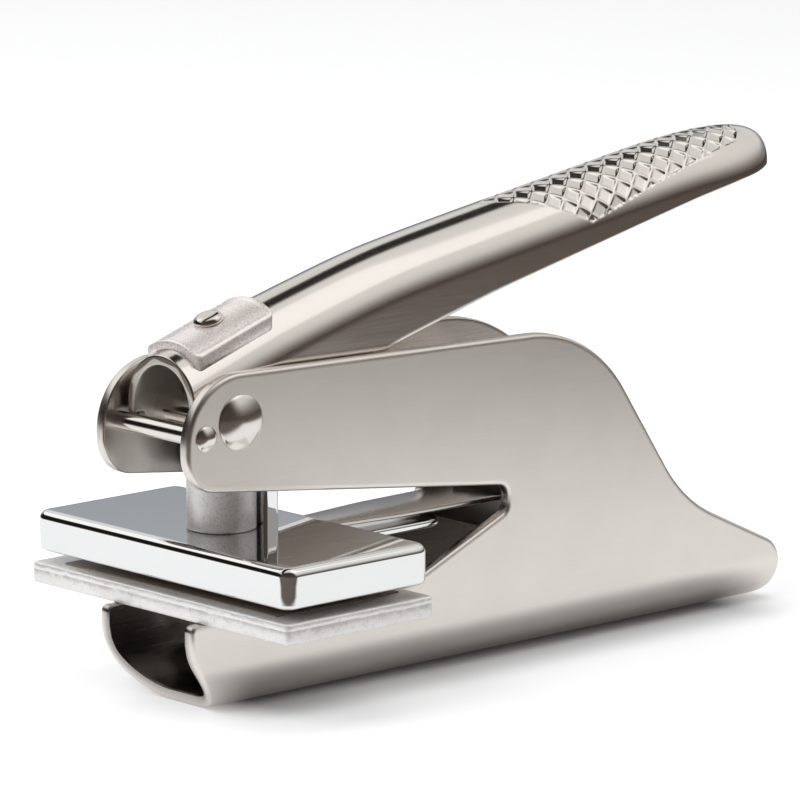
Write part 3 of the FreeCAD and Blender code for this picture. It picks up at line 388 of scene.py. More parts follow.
def refine(path, gap):
    """The same closed path with points no further apart than gap."""
    ends = np.vstack([path, path[:1]])
    spans = np.linalg.norm(np.diff(ends, axis=0), axis=1)
    return np.concatenate([np.linspace(a, b, max(1, math.ceil(span / gap)), endpoint=False)
                           for a, b, span in zip(ends[:-1], ends[1:], spans)])


def rolled(corner, face, cut, angle):
    """Rounded edge: corner + (face - corner)(1 - sin a) + cut (1 - cos a), a quarter ellipse.

    It leaves the face at an angle of nil and ends along the cut at a right angle.
    """
    return corner + (face - corner) * (1 - np.sin(angle)) + cut * (1 - np.cos(angle))


def slab_ring(half_x, half_y, corner, turn_steps=8, side_steps=24):
    """Rounded rectangle round the origin: straight sides joined by quarter circles."""
    corner = min(corner, half_x, half_y)
    angles = np.radians(np.linspace(0, 90, turn_steps + 1))
    arcs = []
    for number, (sx, sy) in enumerate(((1, 1), (-1, 1), (-1, -1), (1, -1))):
        angle = angles + number * math.pi / 2
        middle = np.array([sx * (half_x - corner), sy * (half_y - corner)])
        arcs.append(middle + corner * np.stack([np.cos(angle), np.sin(angle)], -1))
    ring = []
    for arc, following in zip(arcs, arcs[1:] + arcs[:1]):
        ring += [arc, np.linspace(arc[-1], following[0], side_steps + 2)[1:-1]]
    return np.concatenate(ring)


def slab(half_x, half_y, rows, middle_x, turn_steps=8, side_steps=24):
    """Slab built of rounded rectangles: each row is (inset, corner, height)."""
    grid = []
    for inset, corner, height in rows:
        ring = slab_ring(half_x - inset, half_y - inset, corner, turn_steps, side_steps)
        grid.append(np.column_stack([ring + (middle_x, 0), np.full(len(ring), height)]))
    return np.stack(grid)


# ---------------------------------------------------------------- frame sheet
# Half the width outside, and the bend's radius on both sides of the sheet.
HALF_OUT, BEND_OUT, BEND_IN = 11.0, 8.0, 6.0
BEND_MIDDLE = (BEND_OUT + BEND_IN) / 2
FLAT_HALF = HALF_OUT - BEND_OUT
WALL_START = 9.0
# Side view of the sheet: (x, z) of each corner and its rounding.
FRAME_CORNERS = [
    ((-15.4, 6.0), 0.0), ((-15.4, 15.1), 1.1), ((29.7, 15.1), 6.0), ((50.6, 23.9), 1.9),
    ((50.6, 27.9), 1.9), ((-16.05, 35.95), 6.2), ((-16.05, 53.5), 10.6), ((68.7, 51.2), 26.0),
    ((89.9, 20.0), 27.0), ((112.4, 9.3), 5.5), ((112.4, 0.0), 2.5), ((60.0, 0.0), 0.0),
]
TOE_FRONT, TOE_BACK, TOE_START, TOE_RUN = -15.4, 7.4, 4.0, 15.0
FACE_SUPPORT, EDGE_GAP, BACK_FROM = 0.35, 2.5, 100.0


def toe(below):
    """Front edge of the base at a distance along the sheet's middle below the bend's start.

    It leaves the straight front above the bend and runs back under it as 3 t^2 - 2 t^3.
    """
    share = np.clip((below + TOE_START) / TOE_RUN, 0, 1)
    return TOE_FRONT + TOE_BACK * share ** 2 * (3 - 2 * share)


def unfolded(along, outer):
    """Width y and height z of the near half of the sheet at a distance along its section.

    The distance is nil where the wall meets the bend; above it the wall is flat, below it the
    bend turns on its radius, and past a quarter turn the floor is flat.
    """
    radius = BEND_OUT if outer else BEND_IN
    turn = np.clip(-along / radius, 0, math.pi / 2)
    floor = np.maximum(-along - radius * math.pi / 2, 0)
    y = -FLAT_HALF - radius * np.cos(turn) + floor
    z = BEND_OUT - radius * np.sin(turn) + np.maximum(along, 0)
    return y, z


def sheet_edge(outer):
    """Edge of the near half of the sheet, unfolded: pairs of (x, distance along the section).

    Both skins have the same x at the same angle of the bend, as the sheet was cut square.
    """
    radius = BEND_OUT if outer else BEND_IN
    corners = [np.array(corner) for corner, _ in FRAME_CORNERS]
    side = rounded_path(corners, [corner_round for _, corner_round in FRAME_CORNERS])
    back = side[side[:, 0] > BACK_FROM]
    back = back[np.argsort(back[:, 1])]
    turns = np.radians(np.linspace(0, 90, 25))
    floor = np.linspace(0, FLAT_HALF, 7)[1:]
    above = np.array([WALL_START - BEND_OUT, 0.5 * (WALL_START - BEND_OUT)])
    place = np.concatenate([above, -radius * turns, -radius * math.pi / 2 - floor])
    middle = np.concatenate([-above, BEND_MIDDLE * turns, BEND_MIDDLE * math.pi / 2 + floor])
    height = np.concatenate([BEND_OUT + above, BEND_OUT - radius * np.sin(turns),
                             np.full(len(floor), BEND_OUT - radius)])
    wall = refine(side, EDGE_GAP)
    wall = wall[wall[:, 1] > WALL_START + 0.4]
    wall = np.roll(wall, -int(np.argmin(np.hypot(wall[:, 0] + 15, wall[:, 1] - WALL_START))), axis=0)
    wall[:, 1] -= BEND_OUT
    near_toe = (wall[:, 0] < TOE_FRONT + 1e-6) & (wall[:, 1] < WALL_START)
    wall[near_toe, 0] = np.maximum(wall[near_toe, 0], toe(-wall[near_toe, 1]))
    lower_front = np.column_stack([toe(middle), place])[::-1]
    lower_back = np.column_stack([np.interp(height, back[:, 1], back[:, 0]), place])
    return np.vstack([lower_front, wall, lower_back]), len(lower_front)


def inwards(path):
    """Unit normals of an unfolded edge, pointing into the sheet: tangent (u, v) gives (v, -u)."""
    tangent = np.gradient(path, axis=0)
    tangent[0] = (0.0, 1.0)
    tangent[-1] = (0.0, -1.0)
    tangent /= np.linalg.norm(tangent, axis=1)[:, None]
    return np.column_stack([tangent[:, 1], -tangent[:, 0]])


def sheet_point(flat, outer):
    """Unfolded points put in their place on the bent sheet."""
    y, z = unfolded(flat[..., 1], outer)
    return np.stack([flat[..., 0], y, z], -1)


def build_frame(sizes):
    """Bent channel with two cheeks, every punched edge rounded.

    The sheet is unfolded, its edge set in by the rounding along the surface, and bent back.  The
    edge itself is rolled on each side of the cut.
    """
    rim = {True: sizes.rim_round / MM, False: sizes.rim_round / MM / 2}
    corners, faces, lifted = {}, {}, {}
    for outer in rim:
        edge, lower = sheet_edge(outer)
        normal = inwards(edge)
        near, support = edge + normal * rim[outer], edge + normal * (rim[outer] + FACE_SUPPORT)
        corners[outer], lifted[outer] = sheet_point(edge, outer), sheet_point(near, outer)
        faces[outer] = near, support, lower
    angle = np.radians(np.linspace(0, 90, 6))[:, None, None]
    cut = corners[False] - corners[True]
    cut /= np.linalg.norm(cut, axis=1)[:, None]
    round_out, round_in = (
        rolled(corners[outer], lifted[outer], sign * cut * rim[outer], angle)
        for outer, sign in ((True, 1), (False, -1)))
    patches = [(np.concatenate([round_out, round_in[::-1]]), False, False)]
    share = np.linspace(0, 1, 61)[:, None, None]
    for outer, (near, support, lower) in faces.items():
        patches.append((sheet_point(np.stack([near, support]), outer), False, False))
        base = support[:lower][::-1] * (1 - share) + support[-lower:] * share
        patches.append((sheet_point(base, outer), False, False))
        first_row = base[:, 0]
        ring = np.vstack([first_row[:1], support[lower:-lower], first_row[::-1][:-1]])
        patches.append(list(sheet_point(ring, outer)))
    far_side = [(patch[0] * MIRROR, False, False) if isinstance(patch, tuple)
                else [point * MIRROR for point in patch] for patch in patches]
    sheet = shell("frame_sheet", patches + far_side, "frame", "frame_shell", "nickel_satin")
    # Inner side of the channel, where the satin finish paints shade.
    mark_inside(sheet, lambda x, y, z: np.hypot(
        np.maximum(np.abs(y) - FLAT_HALF, 0), np.maximum(BEND_OUT - z, 0)) < BEND_MIDDLE)


# ---------------------------------------------------------------- handle
# The pivot, the round lobe under it and the crest over it; then the crest's two bends, each with
# its softness, its slopes, and how it closes and falls over the tip.
PIVOT_X, PIVOT_Z, LOBE, CREST_CLEAR = -5.5, 45.6, 4.4, 11.8
BROW_X, BROW_SOFT, KNEE_X, KNEE_Z, KNEE_SOFT = 5.4, 2.9, 28.8, 67.35, 7.2
LEAN = math.radians(18.6)
FRONT_SLOPE, GRIP_SLOPE = math.tan(LEAN), math.tan(math.radians(8.93))
TIP_X, TIP_LENGTH, TIP_FULLNESS = 115.96, 18.8, 3.0
FALL_LENGTH, FALL_FULLNESS, TIP_DROP = 29.6, 2.4, 5.7
HANDLE_HALF, HANDLE_SHEET, MOUTH_X, REST_Z = 8.0, 1.6, -12.0, 45.45
TIP_START, INNER_END, TIP_FADE = TIP_X - TIP_LENGTH, TIP_X - HANDLE_SHEET, 4.0
# Lower edge behind the pivot: x and depth under the crest, or None where the level is its own.
RIM_BENDS = [(-5.5, None), (2.0, None), (29.0, 14.0), (50.0, 12.0), (96.0, 8.9), (115.96, 2.95)]
SHANK_Z, RIM_SOFT = 41.5, 3.0
NET_START, NET_END = 54.0, 110.0
# The net's border: slant in front, bow behind, and its reach down the side at a place, tapering.
NET_SLANT, NET_BOW, NET_REACH, NET_REACH_AT, NET_TAPER = 1.55, 0.09, 11.4, 72, 0.155
# Points up a leg, outside and inside.
OUT_LEG, IN_LEG = 10, 6


def ramp(past, softness):
    """Nil before a bend and the distance past it behind: half of t plus the root of t^2 + s^2."""
    return (past + np.hypot(past, softness)) / 2


def closing(share, fullness):
    """What is left of 1 at a share of the way to a tip: (1 - share^n)^(1/n)."""
    return (1 - np.clip(share, 0, 1) ** fullness) ** (1 / fullness)


def crest(x):
    """Height of the crest: three slopes joined by soft ramps, falling over the tip."""
    over_pivot = PIVOT_Z + CREST_CLEAR
    brow = over_pivot + (BROW_X - PIVOT_X) * FRONT_SLOPE
    shank_slope = (KNEE_Z - brow) / (KNEE_X - BROW_X)
    line = over_pivot + (x - PIVOT_X) * FRONT_SLOPE
    line = line + (shank_slope - FRONT_SLOPE) * ramp(x - BROW_X, BROW_SOFT)
    line = line + (GRIP_SLOPE - shank_slope) * ramp(x - KNEE_X, KNEE_SOFT)
    return line - TIP_DROP * (1 - closing(1 - (TIP_X - x) / FALL_LENGTH, FALL_FULLNESS))


def half_width(x):
    """Half the width: constant, then closing in a full round over the tip."""
    return HANDLE_HALF * closing(1 - (TIP_X - x) / TIP_LENGTH, TIP_FULLNESS)


def inner_half(x):
    """Half the width inside, closing one sheet before the tip."""
    return (HANDLE_HALF - HANDLE_SHEET) * closing((x - TIP_START) / (INNER_END - TIP_START), TIP_FULLNESS)


def lower_edge(x):
    """Height of the handle's lower edge: level on the stop pin, round the pivot, then climbing.

    The climb is a chain of straight runs whose bends are soft ramps.
    """
    lobe = PIVOT_Z - np.sqrt(np.maximum(LOBE ** 2 - (x - PIVOT_X) ** 2, 0))
    places = np.array([place for place, _ in RIM_BENDS])
    heights = np.array([PIVOT_Z - LOBE, SHANK_Z]
                       + [float(crest(place)) - depth for place, depth in RIM_BENDS[2:]])
    slopes = np.diff(heights) / np.diff(places)

    def climb(at):
        """Height of the chain at a place."""
        line = heights[0] + slopes[0] * (at - places[0])
        for place, change in zip(places[1:-1], np.diff(slopes)):
            line = line + change * ramp(at - place, RIM_SOFT)
        return line

    lobe_front = PIVOT_X - math.sqrt(LOBE ** 2 - (REST_Z - PIVOT_Z) ** 2)
    behind = climb(x) - climb(PIVOT_X) + heights[0]
    return np.where(x < lobe_front, REST_Z, np.where(x < PIVOT_X, np.minimum(lobe, REST_Z), behind))


def net_recess(x, around, sizes):
    """Depth of the diamond net at a place along the handle and round its crown, in mm.

    Two families of lines, x / pitch + s / width = whole and x / pitch - s / width = whole, stand
    at the old surface; between them the depth rises smoothly over half a line's width.  Each
    diamond's floor is flat: the depth falls off its middle by R / cos(angle) - R.  The net's
    border slants away from the crest in front, is bowed behind and narrows towards the tip.
    """
    pitch, across = sizes.net_pitch / MM, sizes.net_across / MM
    line, depth = sizes.net_line / MM, sizes.net_depth / MM
    one = (x - NET_START) / pitch + around / across
    two = (x - NET_START) / pitch - around / across
    unit = pitch * across / math.hypot(pitch, across)
    near_one, near_two = (np.abs(value - np.round(value)) * unit for value in (one, two))
    side = np.abs(around)
    front = (x - NET_START) - side * NET_SLANT
    back = (NET_END - x) - NET_BOW * side ** 2
    low = (NET_REACH - (x - NET_REACH_AT) * NET_TAPER) - side
    border = np.minimum(np.minimum(front * 0.5, back), low)
    nearest = np.minimum(np.minimum(near_one, near_two), border)
    rise = np.clip((nearest - line * 0.28) / (line * 0.5), 0, 1)
    middle = across * (np.floor(one) - np.floor(two)) / 2
    fall = HANDLE_HALF / np.cos((around - middle) / HANDLE_HALF) - HANDLE_HALF
    return np.maximum(depth - fall, 0) * rise * rise * (3 - 2 * rise)


def along_row(row, leg):
    """Place of each point of a row: 0..1 up the near leg, 1..2 over the crown, 2..3 down."""
    walked = np.concatenate([[0], np.cumsum(np.linalg.norm(np.diff(row, axis=0), axis=1))])
    return np.interp(walked, walked[[0, leg, -leg - 1, -1]], [0, 1, 2, 3])


def meet(row, places, wanted):
    """Points of a row at the wanted places."""
    return np.stack([np.interp(wanted, places, row[:, k]) for k in range(3)], -1)


def handle_stations(rim, pitch):
    """Rows along X, outside and inside: finer round the pivot and the net, crowding at the tip.

    Over the tip they stand at start + length (sin t)^(2 / n), even steps of the closing curve.
    The inside rows are the same, drawn in by one sheet over the tip.
    """
    outer = np.concatenate([
        [MOUTH_X + rim, -11.0, -10.4, -10.05], PIVOT_X - LOBE * np.cos(np.radians(np.linspace(3, 90, 16))),
        np.linspace(-5.5, 2.0, 9)[1:], np.linspace(2.0, 46.0, 52)[1:],
        np.linspace(46.0, NET_START - 1.0, 8)[1:], np.arange(NET_START - 0.6, NET_END + 0.4, pitch / 20),
    ])
    first_turn = math.asin(((outer[-1] + 0.2 - TIP_START) / TIP_LENGTH) ** (TIP_FULLNESS / 2))
    turn = math.pi / 2 - (math.pi / 2 - first_turn) * np.linspace(1, 0, 34) ** 1.5
    outer = np.concatenate([outer, TIP_START + TIP_LENGTH * np.sin(turn) ** (2 / TIP_FULLNESS)])
    outer[-1] = TIP_X
    shrunk = TIP_START + (outer - TIP_START) * (INNER_END - TIP_START) / TIP_LENGTH
    return outer, np.where(outer > TIP_START, shrunk, outer)


def skin(x, across, top, turns, recess, low_x, low_z, steps):
    """Near foot of each row, and the row up the near leg, over the crown and down the far leg.

    With half width w, a point of the crown stands at y = w sin a and z = top - w + w cos a, less
    its recess; a leg is the straight way from the foot to the crown's spring.
    """
    wide = across(x)
    spring = top - wide
    low_z = np.minimum(low_z, spring)
    angle = np.radians(turns)[None, :]
    reach = wide[:, None] - recess
    crown = np.stack([np.broadcast_to(x[:, None], (len(x), len(turns))),
                      reach * np.sin(angle), spring[:, None] + reach * np.cos(angle)], -1)
    share = np.linspace(0, 1, steps + 1)[None, :-1]
    along = low_x[:, None] * (1 - share) + x[:, None] * share
    up = low_z[:, None] * (1 - share) + spring[:, None] * share
    leg = np.stack([along, -across(along), up], -1)
    return leg[:, 0], np.concatenate([leg, crown, (leg * MIRROR)[:, ::-1]], 1)


def build_handle(sizes):
    """Arched lever: two legs under a half-round crown, closed at the tip, open at the mouth.

    Row i is a station along X.  Round a row the points run up the near leg, over the crown by the
    angle from its middle, down the far leg, round the rim and back inside.
    """
    rim = sizes.handle_round / MM
    stations, inner_stations = handle_stations(rim, sizes.net_pitch / MM)
    low, low_in = lower_edge(stations), lower_edge(inner_stations)
    tangent = np.stack([np.gradient(stations), np.gradient(low)])
    tangent /= np.linalg.norm(tangent, axis=0)
    into = np.stack([-tangent[1], tangent[0]])
    into[:, stations < PIVOT_X - LOBE] = np.array([[0.0], [1.0]])
    fade = np.clip((TIP_X - stations) / TIP_FADE, 0, 1)
    rim_here = rim * (0.25 + 0.75 * fade)
    lean, rise = into[0] * rim_here * fade, into[1] * rim_here
    turns = np.arange(-90.0, 90.01, 180.0 / 128)
    net = net_recess(stations[:, None], HANDLE_HALF * np.radians(turns)[None, :], sizes)
    foot_out, outside = skin(stations, half_width, crest(stations), turns, net,
                             stations + lean, low + rise, OUT_LEG)
    foot_in, inside = skin(inner_stations, inner_half, crest(inner_stations) - HANDLE_SHEET,
                           np.linspace(-90, 90, 33), 0.0, inner_stations + lean, low_in + rise, IN_LEG)

    # Rounded lower rim from the outer foot to the inner foot, on the near side.
    corner_out = np.stack([stations, -half_width(stations), low], -1)
    corner_in = np.stack([inner_stations, -inner_half(inner_stations), low_in], -1)
    across = corner_in - corner_out
    span = np.linalg.norm(across, axis=1)[:, None]
    across = across / np.maximum(span, 1e-9)
    reach = np.minimum(rim_here[:, None], span * 0.45)
    angle = np.radians(np.linspace(0, 90, 6))[1:, None, None]
    first, second = (
        rolled(corner, foot, sign * across * reach, angle)
        for corner, foot, sign in ((corner_out, foot_out, 1), (corner_in, foot_in, -1)))
    rim_near = np.moveaxis(np.concatenate([first, second[::-1]]), 0, 1)
    loop = np.concatenate([outside, rim_near * MIRROR, inside[:, ::-1], rim_near[:, ::-1]], 1)

    # The mouth: the first row draws in to the middle of the sheet over its rounding.  Legs and
    # crown are matched part by part, so the middle line keeps its distance from both skins.
    out_row, in_row = outside[0], inside[0]
    out_at, in_at = along_row(out_row, OUT_LEG), along_row(in_row, IN_LEG)
    middle_out = (out_row + meet(in_row, in_at, out_at)) / 2
    middle_in = (in_row + meet(out_row, out_at, in_at)) / 2
    count = rim_near.shape[1]
    middle = np.concatenate([middle_out, np.tile(middle_out[-1], (count, 1)), middle_in[::-1],
                             np.tile(middle_out[0], (count, 1))])
    angle = np.radians(np.linspace(90, 0, 6))[:-1, None, None]
    mouth = loop[0] + (middle - loop[0]) * rim / (HANDLE_SHEET / 2) * (1 - np.cos(angle))
    mouth[..., 0] = MOUTH_X + rim * (1 - np.sin(angle[..., 0]))
    grid = np.concatenate([mouth, loop])
    arch = shell("handle_arch", [(grid, False, True), list(grid[0])], "handle", "handle_lever",
                 "nickel_bright")
    mark_inside(arch, lambda x, y, z: np.hypot(y, np.maximum(z - crest(x) + half_width(x), 0))
                < half_width(x) - HANDLE_SHEET / 2)


# ---------------------------------------------------------------- rivets and pins
# Name, node, x, z, shank radius, head radius and how far the head stands out.
CROSS_RIVETS = (
    ("pivot_rivet_heads", "pivot_rivet", PIVOT_X, PIVOT_Z, 2.5, 4.3, 1.3),
    ("stop_pin_heads", "stop_pin", -12.4, 43.9, 1.5, 2.0, 0.8),
)


def dome_rows(radius, rise, base, steps=12):
    """Profile of a low domed head: a circle's arc from the rim to the middle."""
    sphere = (radius ** 2 + rise ** 2) / (2 * rise)
    reach = np.linspace(radius, 0, steps)
    return np.column_stack([reach, base + rise - sphere + np.sqrt(sphere ** 2 - reach ** 2)])


def build_cross_rivet(name, node, x, z, shank, head, rise):
    """Rivet across the frame: a bare shank and, outside each cheek, a soft-edged domed head.

    The profile runs from the far head's middle to the near head's, turned about Y.
    """
    edge = 0.22
    dome = dome_rows(head - 0.05, rise - edge, HALF_OUT + edge)
    near = np.vstack([[shank, HALF_OUT], [head - 0.18, HALF_OUT], [head - 0.04, HALF_OUT + 0.06],
                      [head, HALF_OUT + 0.14], dome])
    profile = np.vstack([near[::-1] * (1, -1), near])
    shell(name, [turned(profile, (x, 0, z), "y", 96)], "frame", node, "nickel_bright", 50)


# ---------------------------------------------------------------- badge
BADGE_LENGTH, BADGE_WIDTH, BADGE_RISE, BADGE_FRONT = 16.5, 12.4, 1.3, -9.9
BADGE_BOW, BADGE_CORNER = 11.0, 1.1
BADGE_MIDDLE = BADGE_FRONT + BADGE_LENGTH * math.cos(LEAN) / 2
BUTTON_RADIUS, BUTTON_RISE, BUTTON_SEAT, BUTTON_SHANK = 2.35, 1.18, 1.02, 1.2


def build_badge():
    """Bare saddle plate: a rounded rectangle laid over the crown, with a raised border.

    Rows run from the middle of the top out to the edge, down it and back under.  The underside
    is bent like the crown and the top is flatter, so the long edges are the thickest.
    """
    half_a, half_b = BADGE_LENGTH / 2, BADGE_WIDTH / 2
    insets = [(half_b * share, 1.02) for share in (0.97, 0.9, 0.8, 0.6, 0.4, 0.2)]
    insets += [(1.0, 1.02), (0.85, 1.06), (0.72, 1.2), (0.62, 1.27), (0.45, BADGE_RISE),
               (0.3, BADGE_RISE), (0.12, 1.25), (0.02, 1.12), (0.0, 1.0), (0.0, 0.5), (0.0, 0.08),
               (0.06, 0.0)]
    insets += [(half_b * share, 0.0) for share in (0.2, 0.5, 0.97)]
    grid = []
    for inset, lift in insets:
        ring = slab_ring(half_a - inset, half_b - inset, max(0.04, BADGE_CORNER - inset), 6, 30)
        x = BADGE_MIDDLE + ring[:, 0] * math.cos(LEAN)
        y = ring[:, 1]
        seat = np.sqrt(HANDLE_HALF ** 2 - y ** 2) - HANDLE_HALF
        bow = np.sqrt(BADGE_BOW ** 2 - y ** 2) - BADGE_BOW
        grid.append(np.stack([x, y, crest(x) + lift + seat + (bow - seat) * min(1.0, lift)], -1))
    capped("badge_blank", np.stack(grid), "handle", "badge_plate", "nickel_cast")


def build_badge_rivet():
    """Round button head in the middle of the badge, square to the crest."""
    angle = np.radians(np.linspace(0, 90, 12))
    head = np.column_stack([BUTTON_RADIUS * np.cos(angle) ** 0.55,
                            BUTTON_SEAT + BUTTON_RISE * np.sin(angle) ** 0.9])
    profile = np.vstack([[0, -1.6], [BUTTON_SHANK, -1.6], [BUTTON_SHANK, 0.9],
                         [BUTTON_RADIUS - 0.15, 0.9], [BUTTON_RADIUS, 1.0], head[1:]])
    grid, close, _ = turned(profile, (0, 0, 0), "z", 64)
    turn = np.array(Matrix.Rotation(-LEAN, 3, "Y"))
    grid = grid @ turn.T + np.array([BADGE_MIDDLE, 0, crest(np.array([BADGE_MIDDLE]))[0]])
    shell("badge_button", [(grid, close, False)], "handle", "badge_rivet", "nickel_bright", 60)


# ---------------------------------------------------------------- plates
ROUGH_WAVES, ROUGH_SHARE = 14, 3.2
PLATE_LOW, PLATE_HIGH, PLATE_MIDDLE, PLATE_HALF_X, PLATE_HALF_Y = 20.3, 26.7, 1.75, 14.65, 30.0
PLATE_CORNER, PLATE_ROUND, PLATE_LOW_ROUND = 2.2, 1.35, 0.8
RECESS_HALF_X, RECESS_HALF_Y, RECESS_DEPTH = 12.6, 25.1, 1.0
BED_LOW, BED_HIGH, BED_MARGIN = 15.1, 18.4, 0.4


def quarter(inset_from, inset_to, z_from, z_to, corner, steps=7):
    """Rows of a quarter round: the inset runs with 1 - sin a and the height with 1 - cos a."""
    angle = np.radians(np.linspace(0, 90, steps))
    inset = inset_to + (inset_from - inset_to) * (1 - np.sin(angle))
    z = z_from + (z_to - z_from) * (1 - np.cos(angle))
    return [(float(i), float(corner - i), float(h)) for i, h in zip(inset, z)]


def build_press_plate():
    """Mirror-polished plate: a rounded rectangle with a soft top edge and a recess for its die."""
    rows = [(14.6, 0.02, PLATE_HIGH), (9.0, 0.05, PLATE_HIGH), (4.0, 0.1, PLATE_HIGH),
            (2.2, 0.2, PLATE_HIGH), (1.7, 0.3, PLATE_HIGH)]
    rows += quarter(PLATE_ROUND, 0.0, PLATE_HIGH, PLATE_HIGH - PLATE_ROUND, PLATE_CORNER, 12)
    rows += [(0.0, PLATE_CORNER, 24.0), (0.0, PLATE_CORNER, 22.4)]
    rows += quarter(PLATE_LOW_ROUND, 0.0, PLATE_LOW, PLATE_LOW + PLATE_LOW_ROUND, PLATE_CORNER)[::-1]
    rows += [(1.3, 0.4, PLATE_LOW), (1.7, 0.2, PLATE_LOW)]
    outer = slab(PLATE_HALF_X, PLATE_HALF_Y, rows, PLATE_MIDDLE)
    recess = slab(RECESS_HALF_X, RECESS_HALF_Y, [
        (0.0, 0.1, PLATE_LOW), (0.0, 0.1, PLATE_LOW + RECESS_DEPTH),
        (RECESS_HALF_X - 0.1, 0.02, PLATE_LOW + RECESS_DEPTH)], PLATE_MIDDLE)
    capped("press_plate", np.concatenate([outer, recess]), "press", "upper_plate", "chrome_plate", 35)


def rough(points, amount, scale, seed):
    """Gentle unevenness: a sum of sines of the place with seeded directions and phases.

    Each wave is shorter and lower than the one before it.
    """
    chance = np.random.default_rng(seed)
    height = np.zeros(points.shape[:-1])
    for octave in range(ROUGH_WAVES):
        direction = chance.normal(size=3)
        direction *= (2 * math.pi / scale) * (0.6 + 0.22 * octave) / np.linalg.norm(direction)
        height += np.sin(points @ direction + chance.uniform(0, 2 * math.pi)) / (1 + 0.25 * octave)
    return amount * height / ROUGH_SHARE


def build_lower_plate():
    """Cast lower plate: a slab whose edge is uneven, with a ledge along its middle."""
    low, high = BED_LOW, BED_HIGH
    half_x, half_y = PLATE_HALF_X + BED_MARGIN, PLATE_HALF_Y + BED_MARGIN
    rows = [(15.0, 0.02, high), (9.0, 0.05, high), (4.0, 0.1, high), (1.2, 0.3, high),
            (0.5, 0.6, high), (0.25, 0.8, high - 0.04), (0.1, 0.9, high - 0.14),
            (0.03, 1.0, high - 0.35), (0.0, 1.0, high - 0.6), (0.0, 1.0, high - 0.85),
            (0.07, 0.9, high - 1.0), (0.06, 0.9, high - 1.14), (0.0, 1.0, high - 1.3),
            (0.0, 1.0, high - 1.9), (0.0, 1.0, high - 2.5), (0.05, 1.0, low + 0.3),
            (0.2, 0.8, low + 0.08), (0.5, 0.6, low), (4.0, 0.1, low), (15.0, 0.02, low)]
    grid = slab(half_x, half_y, rows, PLATE_MIDDLE, 5, 150)
    edge = np.array([1.0 if inset < 0.3 else 0.0 for inset, _, _ in rows])[:, None]
    dent = (np.abs(rough(grid, amount=0.12, scale=2.4, seed=7))
            + np.abs(rough(grid, amount=0.06, scale=0.9, seed=11)))
    reach = grid[..., :2] - np.array([PLATE_MIDDLE, 0.0])
    limit = np.array([half_x, half_y]) - 0.3
    unit = np.where(np.abs(reach) > limit, np.sign(reach), 0)
    grid[..., :2] -= unit * (dent * edge)[..., None]
    capped("bed_plate", grid, "frame", "lower_plate", "zinc_cast", 60)


# ---------------------------------------------------------------- plunger, bar and spring
PLUNGER_RADIUS, PLUNGER_TOP, STEP_RADIUS, STEP_HEIGHT = 5.45, 43.248, 3.5, 2.0
BAR_HALF_X, BAR_HALF_Y, BAR_MIDDLE, BAR_TOP, BAR_CORNER = 1.65, 3.6, 7.25, 41.0, 0.8
LEAF_LOW, LEAF_HIGH, LEAF_EDGE = 24.3, 25.2, 0.28
TONGUE_HALF, TONGUE_START, TONGUE_END, TONGUE_LOW, TONGUE_HIGH = 5.5, 14.8, 43.6, 21.9, 23.1


def build_plunger():
    """Round plunger with a chamfered shoulder and a smaller step on top."""
    step = PLUNGER_TOP - STEP_HEIGHT
    profile = [(0, PLATE_HIGH), (5.2, PLATE_HIGH), (PLUNGER_RADIUS, PLATE_HIGH + 0.25)]
    profile += [(PLUNGER_RADIUS, z) for z in np.linspace(PLATE_HIGH + 0.6, step - 0.5, 24)]
    profile += [(5.42, step - 0.3), (5.15, step), (3.6, step), (STEP_RADIUS, step + 0.1),
                (STEP_RADIUS, PLUNGER_TOP - 0.3), (3.4, PLUNGER_TOP - 0.08), (3.2, PLUNGER_TOP),
                (0, PLUNGER_TOP)]
    shell("plunger_column", [turned(profile, (0, 0, 0), "z", 96)], "press", "plunger",
          "steel_turned", 50)


def build_bar():
    """Polished guide bar: a slab on end with small rounded corners."""
    rows = [(1.6, 0.02, PLATE_HIGH), (0.3, 0.5, PLATE_HIGH), (0.0, BAR_CORNER, PLATE_HIGH)]
    rows += [(0.0, BAR_CORNER, z) for z in np.linspace(PLATE_HIGH + 1, BAR_TOP - 0.5, 12)]
    rows += [(0.05, 0.6, BAR_TOP - 0.2), (0.15, 0.2, BAR_TOP - 0.06), (0.4, 0.1, BAR_TOP),
             (1.6, 0.02, BAR_TOP)]
    capped("guide_bar_ground", slab(BAR_HALF_X, BAR_HALF_Y, rows, BAR_MIDDLE), "press", "guide_bar",
           "chrome_plate")


def build_leaf():
    """Leaf of the return spring: a tapering strip with rounded long edges.

    At each station the section is a rounded rectangle; its half width falls in two straight
    tapers from the root to the tip.
    """
    x = np.concatenate([[14.0, 14.1], np.linspace(14.4, 53.6, 60), np.linspace(54.0, 63.5, 12), [63.6]])
    half = np.interp(x, [14.0, 33.0, 53.6, 63.6], [3.0, 5.3, 6.0, 6.0])
    angle = np.radians(np.linspace(0, 90, 5))
    rows = []
    for side, upper, first in ((1, 1, 0), (-1, 1, 90), (-1, -1, 180), (1, -1, 270)):
        turn = angle + math.radians(first)
        across = side * (half[:, None] - LEAF_EDGE) + LEAF_EDGE * np.cos(turn)
        up = ((LEAF_LOW + LEAF_HIGH) / 2 + upper * ((LEAF_HIGH - LEAF_LOW) / 2 - LEAF_EDGE)
              + LEAF_EDGE * np.sin(turn))
        rows.append(np.stack(np.broadcast_arrays(x[:, None], across, up), -1))
    leaf = capped("spring_leaf", np.concatenate(rows, 1), None, None, "spring_steel", 50)
    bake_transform(leaf)
    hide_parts("return_spring")


